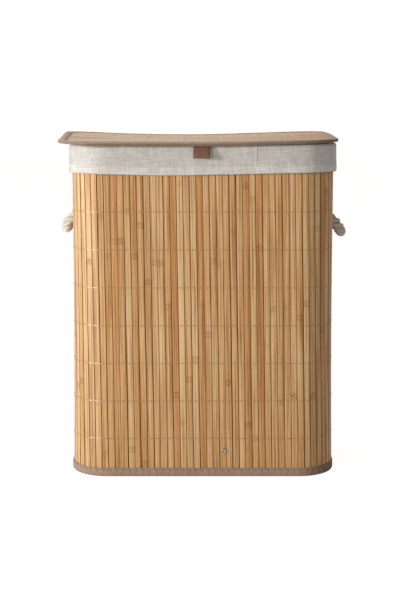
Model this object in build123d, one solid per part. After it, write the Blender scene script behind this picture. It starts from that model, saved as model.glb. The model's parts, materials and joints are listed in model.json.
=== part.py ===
from build123d import *
from math import pi, radians, tan
import os

# Laundry hamper of bamboo slats with a hinged lid, a cloth liner and two rope handles.
# Millimetres. The origin is the centre of the base on the floor, the front faces -Y and Z is up.

# Basket wall
BODY_WIDTH = 398.0
BODY_DEPTH = 302.0
CORNER_RADIUS = 55.0
WALL_TOP = 497.0
SLAT_THICKNESS = 2.6
SLAT_CROWN = 0.35
SLAT_GAP = 0.7
FRONT_SLATS = 29
SIDE_SLATS = 19
CORNER_SLATS = 9
BACKING_THICKNESS = 0.8

# Thread rows that tie the slats together
THREAD_SIZE = 0.7
THREAD_CLEARANCE = 0.25
THREAD_ROWS = 8
THREAD_FIRST_HEIGHT = 58.0
THREAD_SPACING = 57.0

# Cloth bindings and the wire in the rim
BOTTOM_BINDING_HEIGHT = 13.0
BOTTOM_BINDING_CLOTH = 1.2
TOP_BINDING_DROP = 22.0
TOP_BINDING_CLOTH = 0.8
TOP_BINDING_INSET = 8.4
HOOP_DIAMETER = 3.8
HOOP_DROP = 4.5

# Base
BASE_CLOTH = 0.6
BASE_BOARD = 3.0
BASE_TAB_WIDTH = 30.0
BASE_TAB_CLOTH = 1.2
BASE_TAB_HEIGHT = 46.0
BASE_TAB_REACH = 45.0
RIVET_X = 32.0
RIVET_HEIGHT = 39.4
RIVET_HEAD_RADIUS = 3.4
RIVET_HEAD_HEIGHT = 1.2
RIVET_SHANK_RADIUS = 1.7
RIVET_HOLE_RADIUS = 1.9
RIVET_WASHER_RADIUS = 5.0
RIVET_WASHER_THICKNESS = 0.8

# Liner
LINER_CLOTH = 1.2
LINER_FLOOR = 7.2
LINER_SIDE_INSET = 30.0
LINER_FRONT_INSET = 9.2
LINER_FLARE_HEIGHT = 410.0
LINER_TOP = 484.0
LINER_CORNER_RADIUS = 46.0
CUFF_OUTSET = 3.8
CUFF_DROP = 42.0
CUFF_TOP = 499.4
CUFF_REAR_OPENING = 292.0

# Rope handles
ROPE_DIAMETER = 15.0
ROPE_HOLE_SPACING = 120.0
LEFT_ROPE_HEIGHT = 384.0
RIGHT_ROPE_HEIGHT = 378.0
LEFT_ROPE_LEAN = 24.0
RIGHT_ROPE_LEAN = 33.0
ROPE_PIVOT_OUTSET = 8.6
ROPE_STUB_OUTSET = 0.8
# Half of the drooping loop: distance from the middle of the handle, then drop below the holes.
ROPE_HALF_ROUTE = [(60.0, 0.0), (44.0, 18.0), (17.0, 28.5)]
ROPE_RADIUS_SHARE = 0.45
KNOT_RADIUS = 13.0
KNOT_LENGTH = 22.0
KNOT_ROUNDING = 6.0
EYELET_BORE = 7.8
EYELET_BARREL = 8.6
EYELET_HOLE = 8.8
EYELET_FLANGE = 12.5
EYELET_SHEET = 1.0

# Lid
LID_WIDTH = 422.0
LID_FRONT = -163.0
LID_REAR = 152.5
LID_SHIFT = -7.0
LID_CORNER_RADIUS = 56.0
LID_UNDERSIDE = 500.0
LID_RISE_FRONT = 1.0
LID_RISE_REAR = 5.0
LID_SLATS = 32
LID_SLAT_GAP = 0.6
LID_CLOTH = 0.7
LID_BINDING_WIDTH = 11.0
LID_THREAD_ROWS = 6
LID_THREAD_SPACING = 58.0

# Hinge tape and pull tab
TAPE_WIDTH = 280.0
TAPE_CLOTH = 1.2
TAPE_DROP = 30.0
TAPE_TOP = 498.6
TAB_WIDTH = 24.5
TAB_LENGTH = 18.6
TAB_THICKNESS = 2.4
TAB_X = -2.0
TAB_Y = -159.0
TAB_PIVOT_HEIGHT = 498.5

# Heights and offsets that follow from the sizes above
HALF_WIDTH = BODY_WIDTH / 2
HALF_DEPTH = BODY_DEPTH / 2
BACKING_OFFSET = -SLAT_THICKNESS
BACKING_INSIDE = BACKING_OFFSET - BACKING_THICKNESS
BASE_INSIDE = BACKING_INSIDE - BOTTOM_BINDING_CLOTH
BOARD_TOP = BASE_CLOTH + BASE_BOARD
LID_TOP = LID_UNDERSIDE + 3 * LID_CLOTH + SLAT_THICKNESS
LID_CENTRE_Y = (LID_FRONT + LID_REAR) / 2
LID_DEPTH = LID_REAR - LID_FRONT


def wall_outline(offset):
    """Plan of the basket wall, moved outwards from the outer face of the slats."""
    width = BODY_WIDTH + 2 * offset
    depth = BODY_DEPTH + 2 * offset
    return RectangleRounded(width, depth, CORNER_RADIUS + offset)


def wall_prism(offset, bottom, top):
    return Pos(0, 0, bottom) * extrude(wall_outline(offset), top - bottom)


def wall_ring(outside, inside, bottom, top):
    """Band that follows the wall, between two offsets and two heights."""
    band = wall_outline(outside) - wall_outline(inside)
    return Pos(0, 0, bottom) * extrude(band, top - bottom)


def block(x_range, y_range, z_range):
    """Box given by its lowest and highest value along each axis."""
    low = (x_range[0], y_range[0], z_range[0])
    size = (x_range[1] - x_range[0], y_range[1] - y_range[0], z_range[1] - z_range[0])
    return Pos(*low) * Box(*size, align=(Align.MIN, Align.MIN, Align.MIN))


def turned(points):
    """Solid turned about the X axis from an outline of (outset, radius) corners."""
    profile = make_face(Polyline(*[(outset, radius, 0) for outset, radius in points], close=True))
    return revolve(profile, axis=Axis.X)


def slat_section(width):
    """Flat slat seen from its end: a crowned outer face at y = 0 and a flat back."""
    half = width / 2
    back = Polyline((-half, SLAT_CROWN), (-half, SLAT_THICKNESS), (half, SLAT_THICKNESS), (half, SLAT_CROWN))
    face = ThreePointArc((half, SLAT_CROWN), (0, 0), (-half, SLAT_CROWN))
    return make_face(back + face)


def upright_slat(pitch):
    bottom = BOTTOM_BINDING_CLOTH
    return Pos(0, 0, bottom) * extrude(slat_section(pitch - SLAT_GAP), WALL_TOP - bottom)


def flat_wall(count, run, distance, turn):
    """Slats side by side along a straight wall that stands at a distance from the middle."""
    pitch = run / count
    slat = upright_slat(pitch)
    places = [(index + 0.5) * pitch - run / 2 for index in range(count)]
    return [Rot(0, 0, turn) * Pos(place, -distance, 0) * slat for place in places]


def corner_wall(centre_x, centre_y, first_turn):
    """Slats that turn one rounded corner."""
    step = 90.0 / CORNER_SLATS
    slat = upright_slat(CORNER_RADIUS * pi / 2 / CORNER_SLATS)
    centre = Pos(centre_x, centre_y, 0)
    turns = [first_turn + (index + 0.5) * step for index in range(CORNER_SLATS)]
    return [centre * Rot(0, 0, turn) * Pos(0, -CORNER_RADIUS, 0) * slat for turn in turns]


def drilled(slats, holes):
    """Slats with round holes, where a slat that is cut through becomes two."""
    pieces = []
    for slat in slats:
        for hole in holes:
            slat = slat - hole
        pieces.extend(slat.solids())
    return pieces


def rope_holes(side, height, radius):
    length = 60.0
    bore = Rot(0, 90, 0) * Cylinder(radius, length)
    return [Pos(side * HALF_WIDTH, y, height) * bore for y in (-ROPE_HOLE_SPACING / 2, ROPE_HOLE_SPACING / 2)]


def rivet_hole():
    bore = Rot(90, 0, 0) * Cylinder(RIVET_HOLE_RADIUS, 30.0)
    return Pos(RIVET_X, -HALF_DEPTH, RIVET_HEIGHT) * bore


def wall_backing():
    """Thin cloth glued to the inner faces of the slats."""
    cloth = wall_ring(BACKING_OFFSET, BACKING_INSIDE, BOTTOM_BINDING_CLOTH, WALL_TOP)
    holes = rope_holes(-1, LEFT_ROPE_HEIGHT, EYELET_HOLE) + rope_holes(1, RIGHT_ROPE_HEIGHT, EYELET_HOLE)
    for hole in holes + [rivet_hole()]:
        cloth = cloth - hole
    return cloth


def weaving_threads():
    rows = [THREAD_FIRST_HEIGHT + row * THREAD_SPACING for row in range(THREAD_ROWS)]
    outside = THREAD_CLEARANCE + THREAD_SIZE
    return [wall_ring(outside, THREAD_CLEARANCE, row, row + THREAD_SIZE) for row in rows]


def bottom_binding():
    """Cloth strip folded over the lower edge of the wall."""
    outer = wall_ring(BOTTOM_BINDING_CLOTH, BASE_INSIDE, 0, BOTTOM_BINDING_HEIGHT)
    slot = wall_ring(0, BACKING_INSIDE, BOTTOM_BINDING_CLOTH, BOTTOM_BINDING_HEIGHT)
    return outer - slot


def top_binding():
    """Cloth strip folded over the upper edge of the wall and over the rim hoop."""
    bottom = WALL_TOP - TOP_BINDING_DROP
    outer = wall_ring(TOP_BINDING_CLOTH, -TOP_BINDING_INSET, bottom, WALL_TOP + TOP_BINDING_CLOTH)
    slot = wall_ring(0, TOP_BINDING_CLOTH - TOP_BINDING_INSET, bottom, WALL_TOP)
    thread_row = THREAD_FIRST_HEIGHT + (THREAD_ROWS - 1) * THREAD_SPACING
    assert thread_row + THREAD_SIZE < bottom
    return outer - slot


def rim_hoop():
    """Steel wire that holds the mouth of the basket open."""
    offset = BACKING_INSIDE - HOOP_DIAMETER / 2
    path = Pos(0, 0, WALL_TOP - HOOP_DROP) * wall_outline(offset).face().outer_wire()
    section = Plane(origin=path @ 0, z_dir=path % 0) * Circle(HOOP_DIAMETER / 2)
    return sweep(section, path=path)


def base_tab():
    """Cloth tab that ties the base board to the front wall."""
    face = -HALF_DEPTH - BASE_INSIDE
    x_range = (RIVET_X - BASE_TAB_WIDTH / 2, RIVET_X + BASE_TAB_WIDTH / 2)
    upright = block(x_range, (face, face + BASE_TAB_CLOTH), (BOARD_TOP, BASE_TAB_HEIGHT))
    flat = block(x_range, (face, face + BASE_TAB_REACH), (BOARD_TOP, BOARD_TOP + BASE_TAB_CLOTH))
    return upright + flat - rivet_hole()


def base_rivet():
    """Domed head outside, shank through the wall, and a small upset end inside."""
    inside = BASE_INSIDE - BASE_TAB_CLOTH - RIVET_WASHER_THICKNESS
    upset = 0.8
    outline = [
        (RIVET_HEAD_HEIGHT, 0), (RIVET_HEAD_HEIGHT, RIVET_HEAD_RADIUS * 0.55),
        (RIVET_HEAD_HEIGHT / 2, RIVET_HEAD_RADIUS), (0, RIVET_HEAD_RADIUS), (0, RIVET_SHANK_RADIUS),
        (inside, RIVET_SHANK_RADIUS), (inside, RIVET_SHANK_RADIUS + upset),
        (inside - upset, RIVET_SHANK_RADIUS + upset), (inside - upset, 0),
    ]
    return Pos(RIVET_X, -HALF_DEPTH, RIVET_HEIGHT) * Rot(0, 0, -90) * turned(outline)


def rivet_washer():
    face = -HALF_DEPTH - BASE_INSIDE + BASE_TAB_CLOTH
    disc = Circle(RIVET_WASHER_RADIUS) - Circle(RIVET_HOLE_RADIUS)
    washer = Rot(-90, 0, 0) * extrude(disc, RIVET_WASHER_THICKNESS)
    return Pos(RIVET_X, face, RIVET_HEIGHT) * washer


def liner_outline(side_inset, front_inset, radius):
    return RectangleRounded(BODY_WIDTH - 2 * side_inset, BODY_DEPTH - 2 * front_inset, radius)


def liner_form(inset, floor):
    """Filled shape of the liner bag: upright sides that flare out to the rim on the left and right."""
    low = liner_outline(LINER_SIDE_INSET + inset, LINER_FRONT_INSET + inset, LINER_CORNER_RADIUS - inset)
    high = liner_outline(LINER_FRONT_INSET + inset, LINER_FRONT_INSET + inset, LINER_CORNER_RADIUS - inset)
    upright = Pos(0, 0, floor) * extrude(low, LINER_FLARE_HEIGHT - floor)
    flare = loft([Pos(0, 0, LINER_FLARE_HEIGHT) * low, Pos(0, 0, LINER_TOP) * high], ruled=True)
    return upright + flare


def liner_bag():
    return liner_form(0, LINER_FLOOR) - liner_form(LINER_CLOTH, LINER_FLOOR + LINER_CLOTH)


def liner_cuff():
    """Top of the liner, folded out over the rim, with a break at the rear for the hinge tape."""
    inside = -LINER_FRONT_INSET - LINER_CLOTH
    outer = wall_ring(CUFF_OUTSET, inside, CUFF_TOP - CUFF_DROP, CUFF_TOP)
    under = wall_ring(CUFF_OUTSET - LINER_CLOTH, -LINER_FRONT_INSET, CUFF_TOP - CUFF_DROP, CUFF_TOP - LINER_CLOTH)
    inner_leaf_below = wall_prism(-LINER_FRONT_INSET, CUFF_TOP - CUFF_DROP, LINER_TOP)
    half_opening = CUFF_REAR_OPENING / 2
    rear_break = block(
        (-half_opening, half_opening), (HALF_DEPTH - LINER_FRONT_INSET, HALF_DEPTH + 20), (400, CUFF_TOP + 10)
    )
    return outer - under - inner_leaf_below - rear_break


def eyelets(side, height):
    """Two pressed metal eyelets, each a barrel with a flange on both faces of the wall."""
    inner = BACKING_INSIDE
    ring = [
        (EYELET_SHEET, EYELET_BORE), (EYELET_SHEET, EYELET_FLANGE), (0, EYELET_FLANGE), (0, EYELET_BARREL),
        (inner, EYELET_BARREL), (inner, EYELET_FLANGE), (inner - EYELET_SHEET, EYELET_FLANGE),
        (inner - EYELET_SHEET, EYELET_BORE),
    ]
    return rope_fittings(ring, side, height)


def rope_ends(side, height):
    """Knotted ends of the rope, each with the short stub that fills its eyelet."""
    face = BACKING_INSIDE - EYELET_SHEET
    radius = ROPE_DIAMETER / 2
    rounding = KNOT_ROUNDING
    knot = [
        (ROPE_STUB_OUTSET, 0), (ROPE_STUB_OUTSET, radius), (face, radius), (face, KNOT_RADIUS - rounding / 2),
        (face - rounding / 2, KNOT_RADIUS), (face - KNOT_LENGTH + rounding, KNOT_RADIUS),
        (face - KNOT_LENGTH, KNOT_RADIUS - rounding), (face - KNOT_LENGTH, 0),
    ]
    return rope_fittings(knot, side, height)


def rope_fittings(ring, side, height):
    """A turned shape set in each rope hole of one side wall."""
    pieces = []
    for y in (-ROPE_HOLE_SPACING / 2, ROPE_HOLE_SPACING / 2):
        outline = [(side * outset, radius) for outset, radius in ring]
        pieces.append(Pos(side * HALF_WIDTH, y, height) * turned(outline))
    return pieces


def rope_route(side, height, lean):
    """Corners of the drooping loop, from the front hole to the rear hole."""
    outwards = Vector(side, 0, 0).rotate(Axis.Y, side * (90 - lean))
    pivot = Vector(side * (HALF_WIDTH + ROPE_PIVOT_OUTSET), 0, height)
    front = [pivot + Vector(0, -along, 0) + outwards * drop for along, drop in ROPE_HALF_ROUTE]
    rear = [pivot + Vector(0, along, 0) + outwards * drop for along, drop in reversed(ROPE_HALF_ROUTE)]
    return front + rear


def rope_radii(route):
    """Largest tangent arc that each corner's two runs allow."""
    radii = []
    for before, corner, after in zip(route, route[1:], route[2:]):
        run_in = corner - before
        run_out = after - corner
        shorter = min(run_in.length, run_out.length)
        turn = radians(run_in.get_angle(run_out))
        radii.append(ROPE_RADIUS_SHARE * shorter / tan(turn / 2))
    return radii


def rope_handle(side, height, lean):
    """Loop of rope with a ball at each end, where it bends against its stub."""
    route = rope_route(side, height, lean)
    radii = rope_radii(route)
    print("rope bend radii", [round(radius, 1) for radius in radii])
    path = FilletPolyline(*route, radius=radii)
    radius = ROPE_DIAMETER / 2
    tube = sweep(Plane(origin=path @ 0, z_dir=path % 0) * Circle(radius), path=path)
    volume_share = tube.volume / (path.length * pi * radius**2)
    print("rope length", round(path.length, 1), "volume share", round(volume_share, 4))
    return tube + Pos(*route[0]) * Sphere(radius) + Pos(*route[-1]) * Sphere(radius)


def lid_plan(offset):
    face = RectangleRounded(LID_WIDTH + 2 * offset, LID_DEPTH + 2 * offset, LID_CORNER_RADIUS + offset)
    return Pos(LID_SHIFT, LID_CENTRE_Y, 0) * face


def lid_section(y, low, high, rise):
    """Lengthwise cut through one layer of the lid, whose left and right ends stand a little higher."""
    reach = LID_WIDTH / 2 + 10
    lower = ThreePointArc((-reach, low + rise), (0, low), (reach, low + rise))
    upper = ThreePointArc((reach, high + rise), (0, high), (-reach, high + rise))
    ends = Line((reach, low + rise), (reach, high + rise)) + Line((-reach, high + rise), (-reach, low + rise))
    return Plane.XZ.offset(-y) * Pos(LID_SHIFT, 0) * make_face(lower + upper + ends)


def lid_layer(low, high, plan):
    """The part of a plan that lies between two heights of the slightly bowed lid."""
    margin = 10.0
    front = lid_section(LID_FRONT - margin, low, high, LID_RISE_FRONT)
    rear = lid_section(LID_REAR + margin, low, high, LID_RISE_REAR)
    slab = loft([front, rear], ruled=True)
    prism = Pos(0, 0, LID_UNDERSIDE - 20) * extrude(plan, 60)
    return slab & prism


def lid_slats():
    pitch = LID_DEPTH / LID_SLATS
    bottom = LID_UNDERSIDE + 2 * LID_CLOTH
    slats = []
    for index in range(LID_SLATS):
        y = LID_FRONT + (index + 0.5) * pitch
        strip = Pos(LID_SHIFT, y) * Rectangle(LID_WIDTH + 20, pitch - LID_SLAT_GAP)
        slats.extend(lid_layer(bottom, bottom + SLAT_THICKNESS, strip & lid_plan(0)).solids())
    return slats


def lid_backing():
    return lid_layer(LID_UNDERSIDE + LID_CLOTH, LID_UNDERSIDE + 2 * LID_CLOTH, lid_plan(0))


def lid_threads():
    """Thread rows across the top of the lid slats, from front to rear."""
    bottom = LID_TOP - LID_CLOTH
    rows = []
    for row in range(LID_THREAD_ROWS):
        x = (row - (LID_THREAD_ROWS - 1) / 2) * LID_THREAD_SPACING
        strip = Pos(x, LID_CENTRE_Y) * Rectangle(THREAD_SIZE, LID_DEPTH)
        rows.extend(lid_layer(bottom, bottom + THREAD_SIZE / 2, strip & lid_plan(-LID_BINDING_WIDTH)).solids())
    return rows


def lid_binding():
    """Cloth strip folded over the edge of the lid."""
    outer = lid_layer(LID_UNDERSIDE, LID_TOP, lid_plan(LID_CLOTH) - lid_plan(-LID_BINDING_WIDTH))
    filling = lid_layer(LID_UNDERSIDE + LID_CLOTH, LID_TOP - LID_CLOTH, lid_plan(0))
    return outer - filling


def hinge_tape_lower():
    """Half of the hinge tape that is sewn to the rear wall."""
    face = HALF_DEPTH + TOP_BINDING_CLOTH
    return block((-TAPE_WIDTH / 2, TAPE_WIDTH / 2), (face, face + TAPE_CLOTH), (TAPE_TOP - TAPE_DROP, TAPE_TOP))


def hinge_tape_upper():
    """Half of the hinge tape that is sewn to the rear edge of the lid."""
    face = LID_REAR + LID_CLOTH
    return block((-TAPE_WIDTH / 2, TAPE_WIDTH / 2), (face, face + TAPE_CLOTH), (LID_UNDERSIDE, LID_TOP))


def pull_tab():
    """Folded strip that hangs from the lid, rounded along the top where it turns."""
    half = TAB_THICKNESS / 2
    x_range = (TAB_X - TAB_WIDTH / 2, TAB_X + TAB_WIDTH / 2)
    strip = block(x_range, (TAB_Y - half, TAB_Y + half), (TAB_PIVOT_HEIGHT - TAB_LENGTH, TAB_PIVOT_HEIGHT))
    fold = Pos(TAB_X, TAB_Y, TAB_PIVOT_HEIGHT) * Rot(0, 90, 0) * Cylinder(half, TAB_WIDTH)
    return strip + fold


def save(name, shape):
    """Write one node. A list of solids becomes a group."""
    if isinstance(shape, list):
        shape = Compound(children=[solid for piece in shape for solid in piece.solids()])
    export_step(shape, os.path.join("parts", name + ".step"))


def build():
    front_run = BODY_WIDTH - 2 * CORNER_RADIUS
    side_run = BODY_DEPTH - 2 * CORNER_RADIUS
    corner_x = HALF_WIDTH - CORNER_RADIUS
    corner_y = HALF_DEPTH - CORNER_RADIUS
    left_holes = rope_holes(-1, LEFT_ROPE_HEIGHT, EYELET_HOLE)
    right_holes = rope_holes(1, RIGHT_ROPE_HEIGHT, EYELET_HOLE)

    save("front_slats", drilled(flat_wall(FRONT_SLATS, front_run, HALF_DEPTH, 0), [rivet_hole()]))
    save("rear_slats", flat_wall(FRONT_SLATS, front_run, HALF_DEPTH, 180))
    save("left_slats", drilled(flat_wall(SIDE_SLATS, side_run, HALF_WIDTH, -90), left_holes))
    save("right_slats", drilled(flat_wall(SIDE_SLATS, side_run, HALF_WIDTH, 90), right_holes))
    save("front_right_corner_slats", corner_wall(corner_x, -corner_y, 0))
    save("rear_right_corner_slats", corner_wall(corner_x, corner_y, 90))
    save("rear_left_corner_slats", corner_wall(-corner_x, corner_y, 180))
    save("front_left_corner_slats", corner_wall(-corner_x, -corner_y, 270))
    save("wall_backing", wall_backing())
    save("weaving_threads", weaving_threads())
    save("bottom_binding", bottom_binding())
    save("top_binding", top_binding())
    save("rim_hoop", rim_hoop())

    save("base_cloth", wall_prism(BASE_INSIDE, 0, BASE_CLOTH))
    save("base_board", wall_prism(BASE_INSIDE, BASE_CLOTH, BOARD_TOP))
    save("base_tab", base_tab())
    save("base_rivet", base_rivet())
    save("rivet_washer", rivet_washer())

    save("liner_bag", liner_bag())
    save("liner_cuff", liner_cuff())

    for name, side, height, lean in [
        ("left", -1, LEFT_ROPE_HEIGHT, LEFT_ROPE_LEAN),
        ("right", 1, RIGHT_ROPE_HEIGHT, RIGHT_ROPE_LEAN),
    ]:
        save(name + "_rope_eyelets", eyelets(side, height))
        save(name + "_rope_ends", rope_ends(side, height))
        save(name + "_rope_handle", rope_handle(side, height, lean))

    save("lid_slats", lid_slats())
    save("lid_backing", lid_backing())
    save("lid_threads", lid_threads())
    save("lid_binding", lid_binding())
    save("hinge_tape_lower", hinge_tape_lower())
    save("hinge_tape_upper", hinge_tape_upper())
    save("pull_tab", pull_tab())


os.makedirs("parts", exist_ok=True)
build()
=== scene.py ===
# %% [markdown]
# # Dressing a bamboo laundry hamper
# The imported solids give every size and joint. This lesson dresses them: bamboo slats and woven threads
# grown by Geometry Nodes, cloth bindings and a linen liner built as sheets, and twisted rope handles.
# Every piece is in metres, in the frame of the solids: the front faces -Y and Z is up.

# %% Load the fixed frame
import json
import math
import bmesh
import bpy
import numpy as np
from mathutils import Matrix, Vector, noise


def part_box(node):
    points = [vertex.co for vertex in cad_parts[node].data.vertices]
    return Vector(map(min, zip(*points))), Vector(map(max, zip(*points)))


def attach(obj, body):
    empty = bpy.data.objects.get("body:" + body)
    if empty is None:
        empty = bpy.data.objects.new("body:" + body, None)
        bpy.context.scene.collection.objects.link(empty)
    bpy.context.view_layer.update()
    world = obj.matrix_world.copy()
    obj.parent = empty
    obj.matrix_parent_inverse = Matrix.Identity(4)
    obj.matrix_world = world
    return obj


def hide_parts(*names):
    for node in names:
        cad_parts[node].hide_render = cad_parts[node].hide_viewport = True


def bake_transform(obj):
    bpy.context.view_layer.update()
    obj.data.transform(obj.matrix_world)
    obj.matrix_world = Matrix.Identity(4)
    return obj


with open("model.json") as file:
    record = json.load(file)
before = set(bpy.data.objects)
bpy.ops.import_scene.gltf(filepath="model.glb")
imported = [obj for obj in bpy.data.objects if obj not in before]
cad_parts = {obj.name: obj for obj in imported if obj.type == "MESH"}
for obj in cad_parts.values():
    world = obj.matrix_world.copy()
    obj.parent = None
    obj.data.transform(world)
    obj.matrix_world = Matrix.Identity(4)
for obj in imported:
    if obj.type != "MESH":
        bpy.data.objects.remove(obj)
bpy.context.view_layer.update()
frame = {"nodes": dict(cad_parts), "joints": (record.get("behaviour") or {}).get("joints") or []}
MM = 0.001
scene = bpy.context.scene

# %% [markdown]
# ## Measures read from the frame
# The sizes below come from the solids, so the dressing follows them if they change. The wall's outer face
# is the outer face of the slats, and its plan is a rectangle with rounded corners.

# %% Read the measures
WALL_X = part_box("right_slats")[1].x
WALL_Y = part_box("rear_slats")[1].y
WALL_BOTTOM, WALL_TOP = (corner.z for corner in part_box("front_slats"))
CORNER_RADIUS = 55 * MM
SLAT_THICKNESS = WALL_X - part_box("right_slats")[0].x
BODY_SLATS = 132
print("wall", WALL_X, WALL_Y, WALL_BOTTOM, WALL_TOP, "slat thickness", SLAT_THICKNESS)

# %% [markdown]
# ## Camera
# The photograph looks at the front from a little above the lid. Its upright edges stay almost parallel, as
# through a lens that is shifted down, so most of the framing comes from a shift and the rest from a small
# tilt.

# %% Set the camera
IMAGE_WIDTH, IMAGE_HEIGHT = 401, 601
FOCAL_PIXELS = 1233.0
CAMERA_DISTANCE = 1.972
CAMERA_HEIGHT = 0.577
CAMERA_TILT = math.radians(4.08)
LENS_SHIFT = -0.2
PHOTO_CENTRE_X = 202.63
SENSOR = 36.0

camera_data = bpy.data.cameras.new("photo_camera")
camera_data.sensor_width = SENSOR
camera_data.lens = FOCAL_PIXELS / IMAGE_HEIGHT * SENSOR
camera_data.shift_y = LENS_SHIFT
camera = bpy.data.objects.new("photo_camera", camera_data)
side_step = (IMAGE_WIDTH / 2 - PHOTO_CENTRE_X) / FOCAL_PIXELS * CAMERA_DISTANCE
camera.location = (side_step, -CAMERA_DISTANCE, CAMERA_HEIGHT)
camera.rotation_euler = (math.pi / 2 - CAMERA_TILT, 0, 0)
scene.collection.objects.link(camera)
scene.camera = camera
scene.view_settings.view_transform = "Standard"
print("lens", round(camera_data.lens, 2))

# %% [markdown]
# ## Small helpers for nodes
# Shader trees and geometry trees are built the same way: add a node, set it, link its inputs. One function
# does that. Colours are written as sRGB hex values and turned to linear light, which is what shaders use.


# %% Node helpers
def set_inputs(tree, node, inputs):
    """Set or link a node's inputs by name or number. A node among the values stands for its first output."""
    for key, value in inputs.items():
        if isinstance(value, bpy.types.Node):
            value = value.outputs[0]
        if isinstance(value, bpy.types.NodeSocket):
            tree.links.new(value, node.inputs[key])
        else:
            node.inputs[key].default_value = value


def add_node(tree, kind, inputs=None, stops=(), **settings):
    """Add a node with its properties and inputs. Stops are the places and hex colours of a colour ramp."""
    node = tree.nodes.new(kind)
    for key, value in settings.items():
        setattr(node, key, value)
    set_inputs(tree, node, inputs or {})
    for index, (position, hex_colour) in enumerate(stops):
        elements = node.color_ramp.elements
        element = elements[index] if index < len(elements) else elements.new(position)
        element.position = position
        element.color = linear(hex_colour)
    return node


def linear(hex_colour):
    """sRGB hex to linear RGBA."""
    shares = [int(hex_colour[start:start + 2], 16) / 255 for start in (1, 3, 5)]
    return [s / 12.92 if s <= 0.04045 else ((s + 0.055) / 1.055) ** 2.4 for s in shares] + [1.0]


def new_material(name, **constants):
    """Empty material with a Principled shader whose constant sockets are set directly."""
    material = bpy.data.materials.new(name)
    material.use_nodes = True
    shader = material.node_tree.nodes["Principled BSDF"]
    for socket, value in constants.items():
        shader.inputs[socket.replace("_", " ")].default_value = value
    return material, material.node_tree, shader


# %% [markdown]
# ## Studio: light, floor and a white surround
# The photograph is lit from the left with a broad soft lamp, so the left corner is bright and the right
# corner falls into brown shade. The world is white where the camera sees it, directly or mirrored, and softer
# and a little warmer as a light.

# %% White surround
WHITE = (1.0, 1.0, 1.0, 1.0)
WORLD_STRENGTH = 0.28
WORLD_COLOUR = "#fff9ef"


def seen_directly(tree):
    """1 for the rays that show the white surround itself: camera, glossy and transmission rays."""
    path = add_node(tree, "ShaderNodeLightPath")
    seen = path.outputs["Is Camera Ray"]
    for kind in ("Is Glossy Ray", "Is Transmission Ray"):
        seen = add_node(tree, "ShaderNodeMath", {0: seen, 1: path.outputs[kind]}, operation="MAXIMUM")
    return seen


world = bpy.data.worlds.new("white_studio")
scene.world = world
world.use_nodes = True
sky = world.node_tree
seen = seen_directly(sky)
strength = add_node(sky, "ShaderNodeMapRange", {"Value": seen, "To Min": WORLD_STRENGTH, "To Max": 1.0})
hue = add_node(sky, "ShaderNodeMix", {0: seen, 6: linear(WORLD_COLOUR), 7: WHITE}, data_type="RGBA")
set_inputs(sky, sky.nodes["Background"], {"Strength": strength, "Color": hue.outputs[2]})
print("world", world.name, WORLD_STRENGTH)


# %% Lamps
def area_lamp(name, place, target, size, watts):
    """Square area lamp that looks at a target point."""
    data = bpy.data.lights.new(name, "AREA")
    data.size = size
    data.energy = watts
    lamp = bpy.data.objects.new(name, data)
    lamp.location = place
    lamp.rotation_euler = (Vector(target) - Vector(place)).to_track_quat("-Z", "Y").to_euler()
    scene.collection.objects.link(lamp)


area_lamp("key_left", place=(-2.1, -1.15, 0.74), target=(0, 0, 0.3), size=0.5, watts=41.5)
area_lamp("top_back", place=(-0.35, 1.3, 1.7), target=(0, 0, 0.5), size=1.2, watts=19)
area_lamp("front_fill", place=(-1.5, -2.25, 0.8), target=(0, 0, 0.27), size=0.9, watts=16.4)

# %% Floor
HALF_FLOOR = 12.0
PAPER_COLOUR = "#f4f4f3"
GLOW_SHARE, GLOW_STRENGTH = 0.7, 1.3
floor_corners = [(x * HALF_FLOOR, y * HALF_FLOOR, 0) for x, y in ((-1, -1), (1, -1), (1, 1), (-1, 1))]
floor_mesh = bpy.data.meshes.new("studio_floor")
floor_mesh.from_pydata(floor_corners, [], [(0, 1, 2, 3)])
floor = bpy.data.objects.new("studio_floor", floor_mesh)
scene.collection.objects.link(floor)
floor_material, tree, shader = new_material("matt_white_paper", Roughness=0.9)
set_inputs(tree, shader, {"Base Color": linear(PAPER_COLOUR)})
share = add_node(tree, "ShaderNodeMath", {0: seen_directly(tree), 1: GLOW_SHARE}, operation="MULTIPLY")
glow = add_node(tree, "ShaderNodeEmission", {"Color": WHITE, "Strength": GLOW_STRENGTH})
mixed = add_node(tree, "ShaderNodeMixShader", {0: share, 1: shader, 2: glow})
set_inputs(tree, tree.nodes["Material Output"], {"Surface": mixed})
floor_mesh.materials.append(floor_material)
print("floor", 2 * HALF_FLOOR, "m wide")
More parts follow.
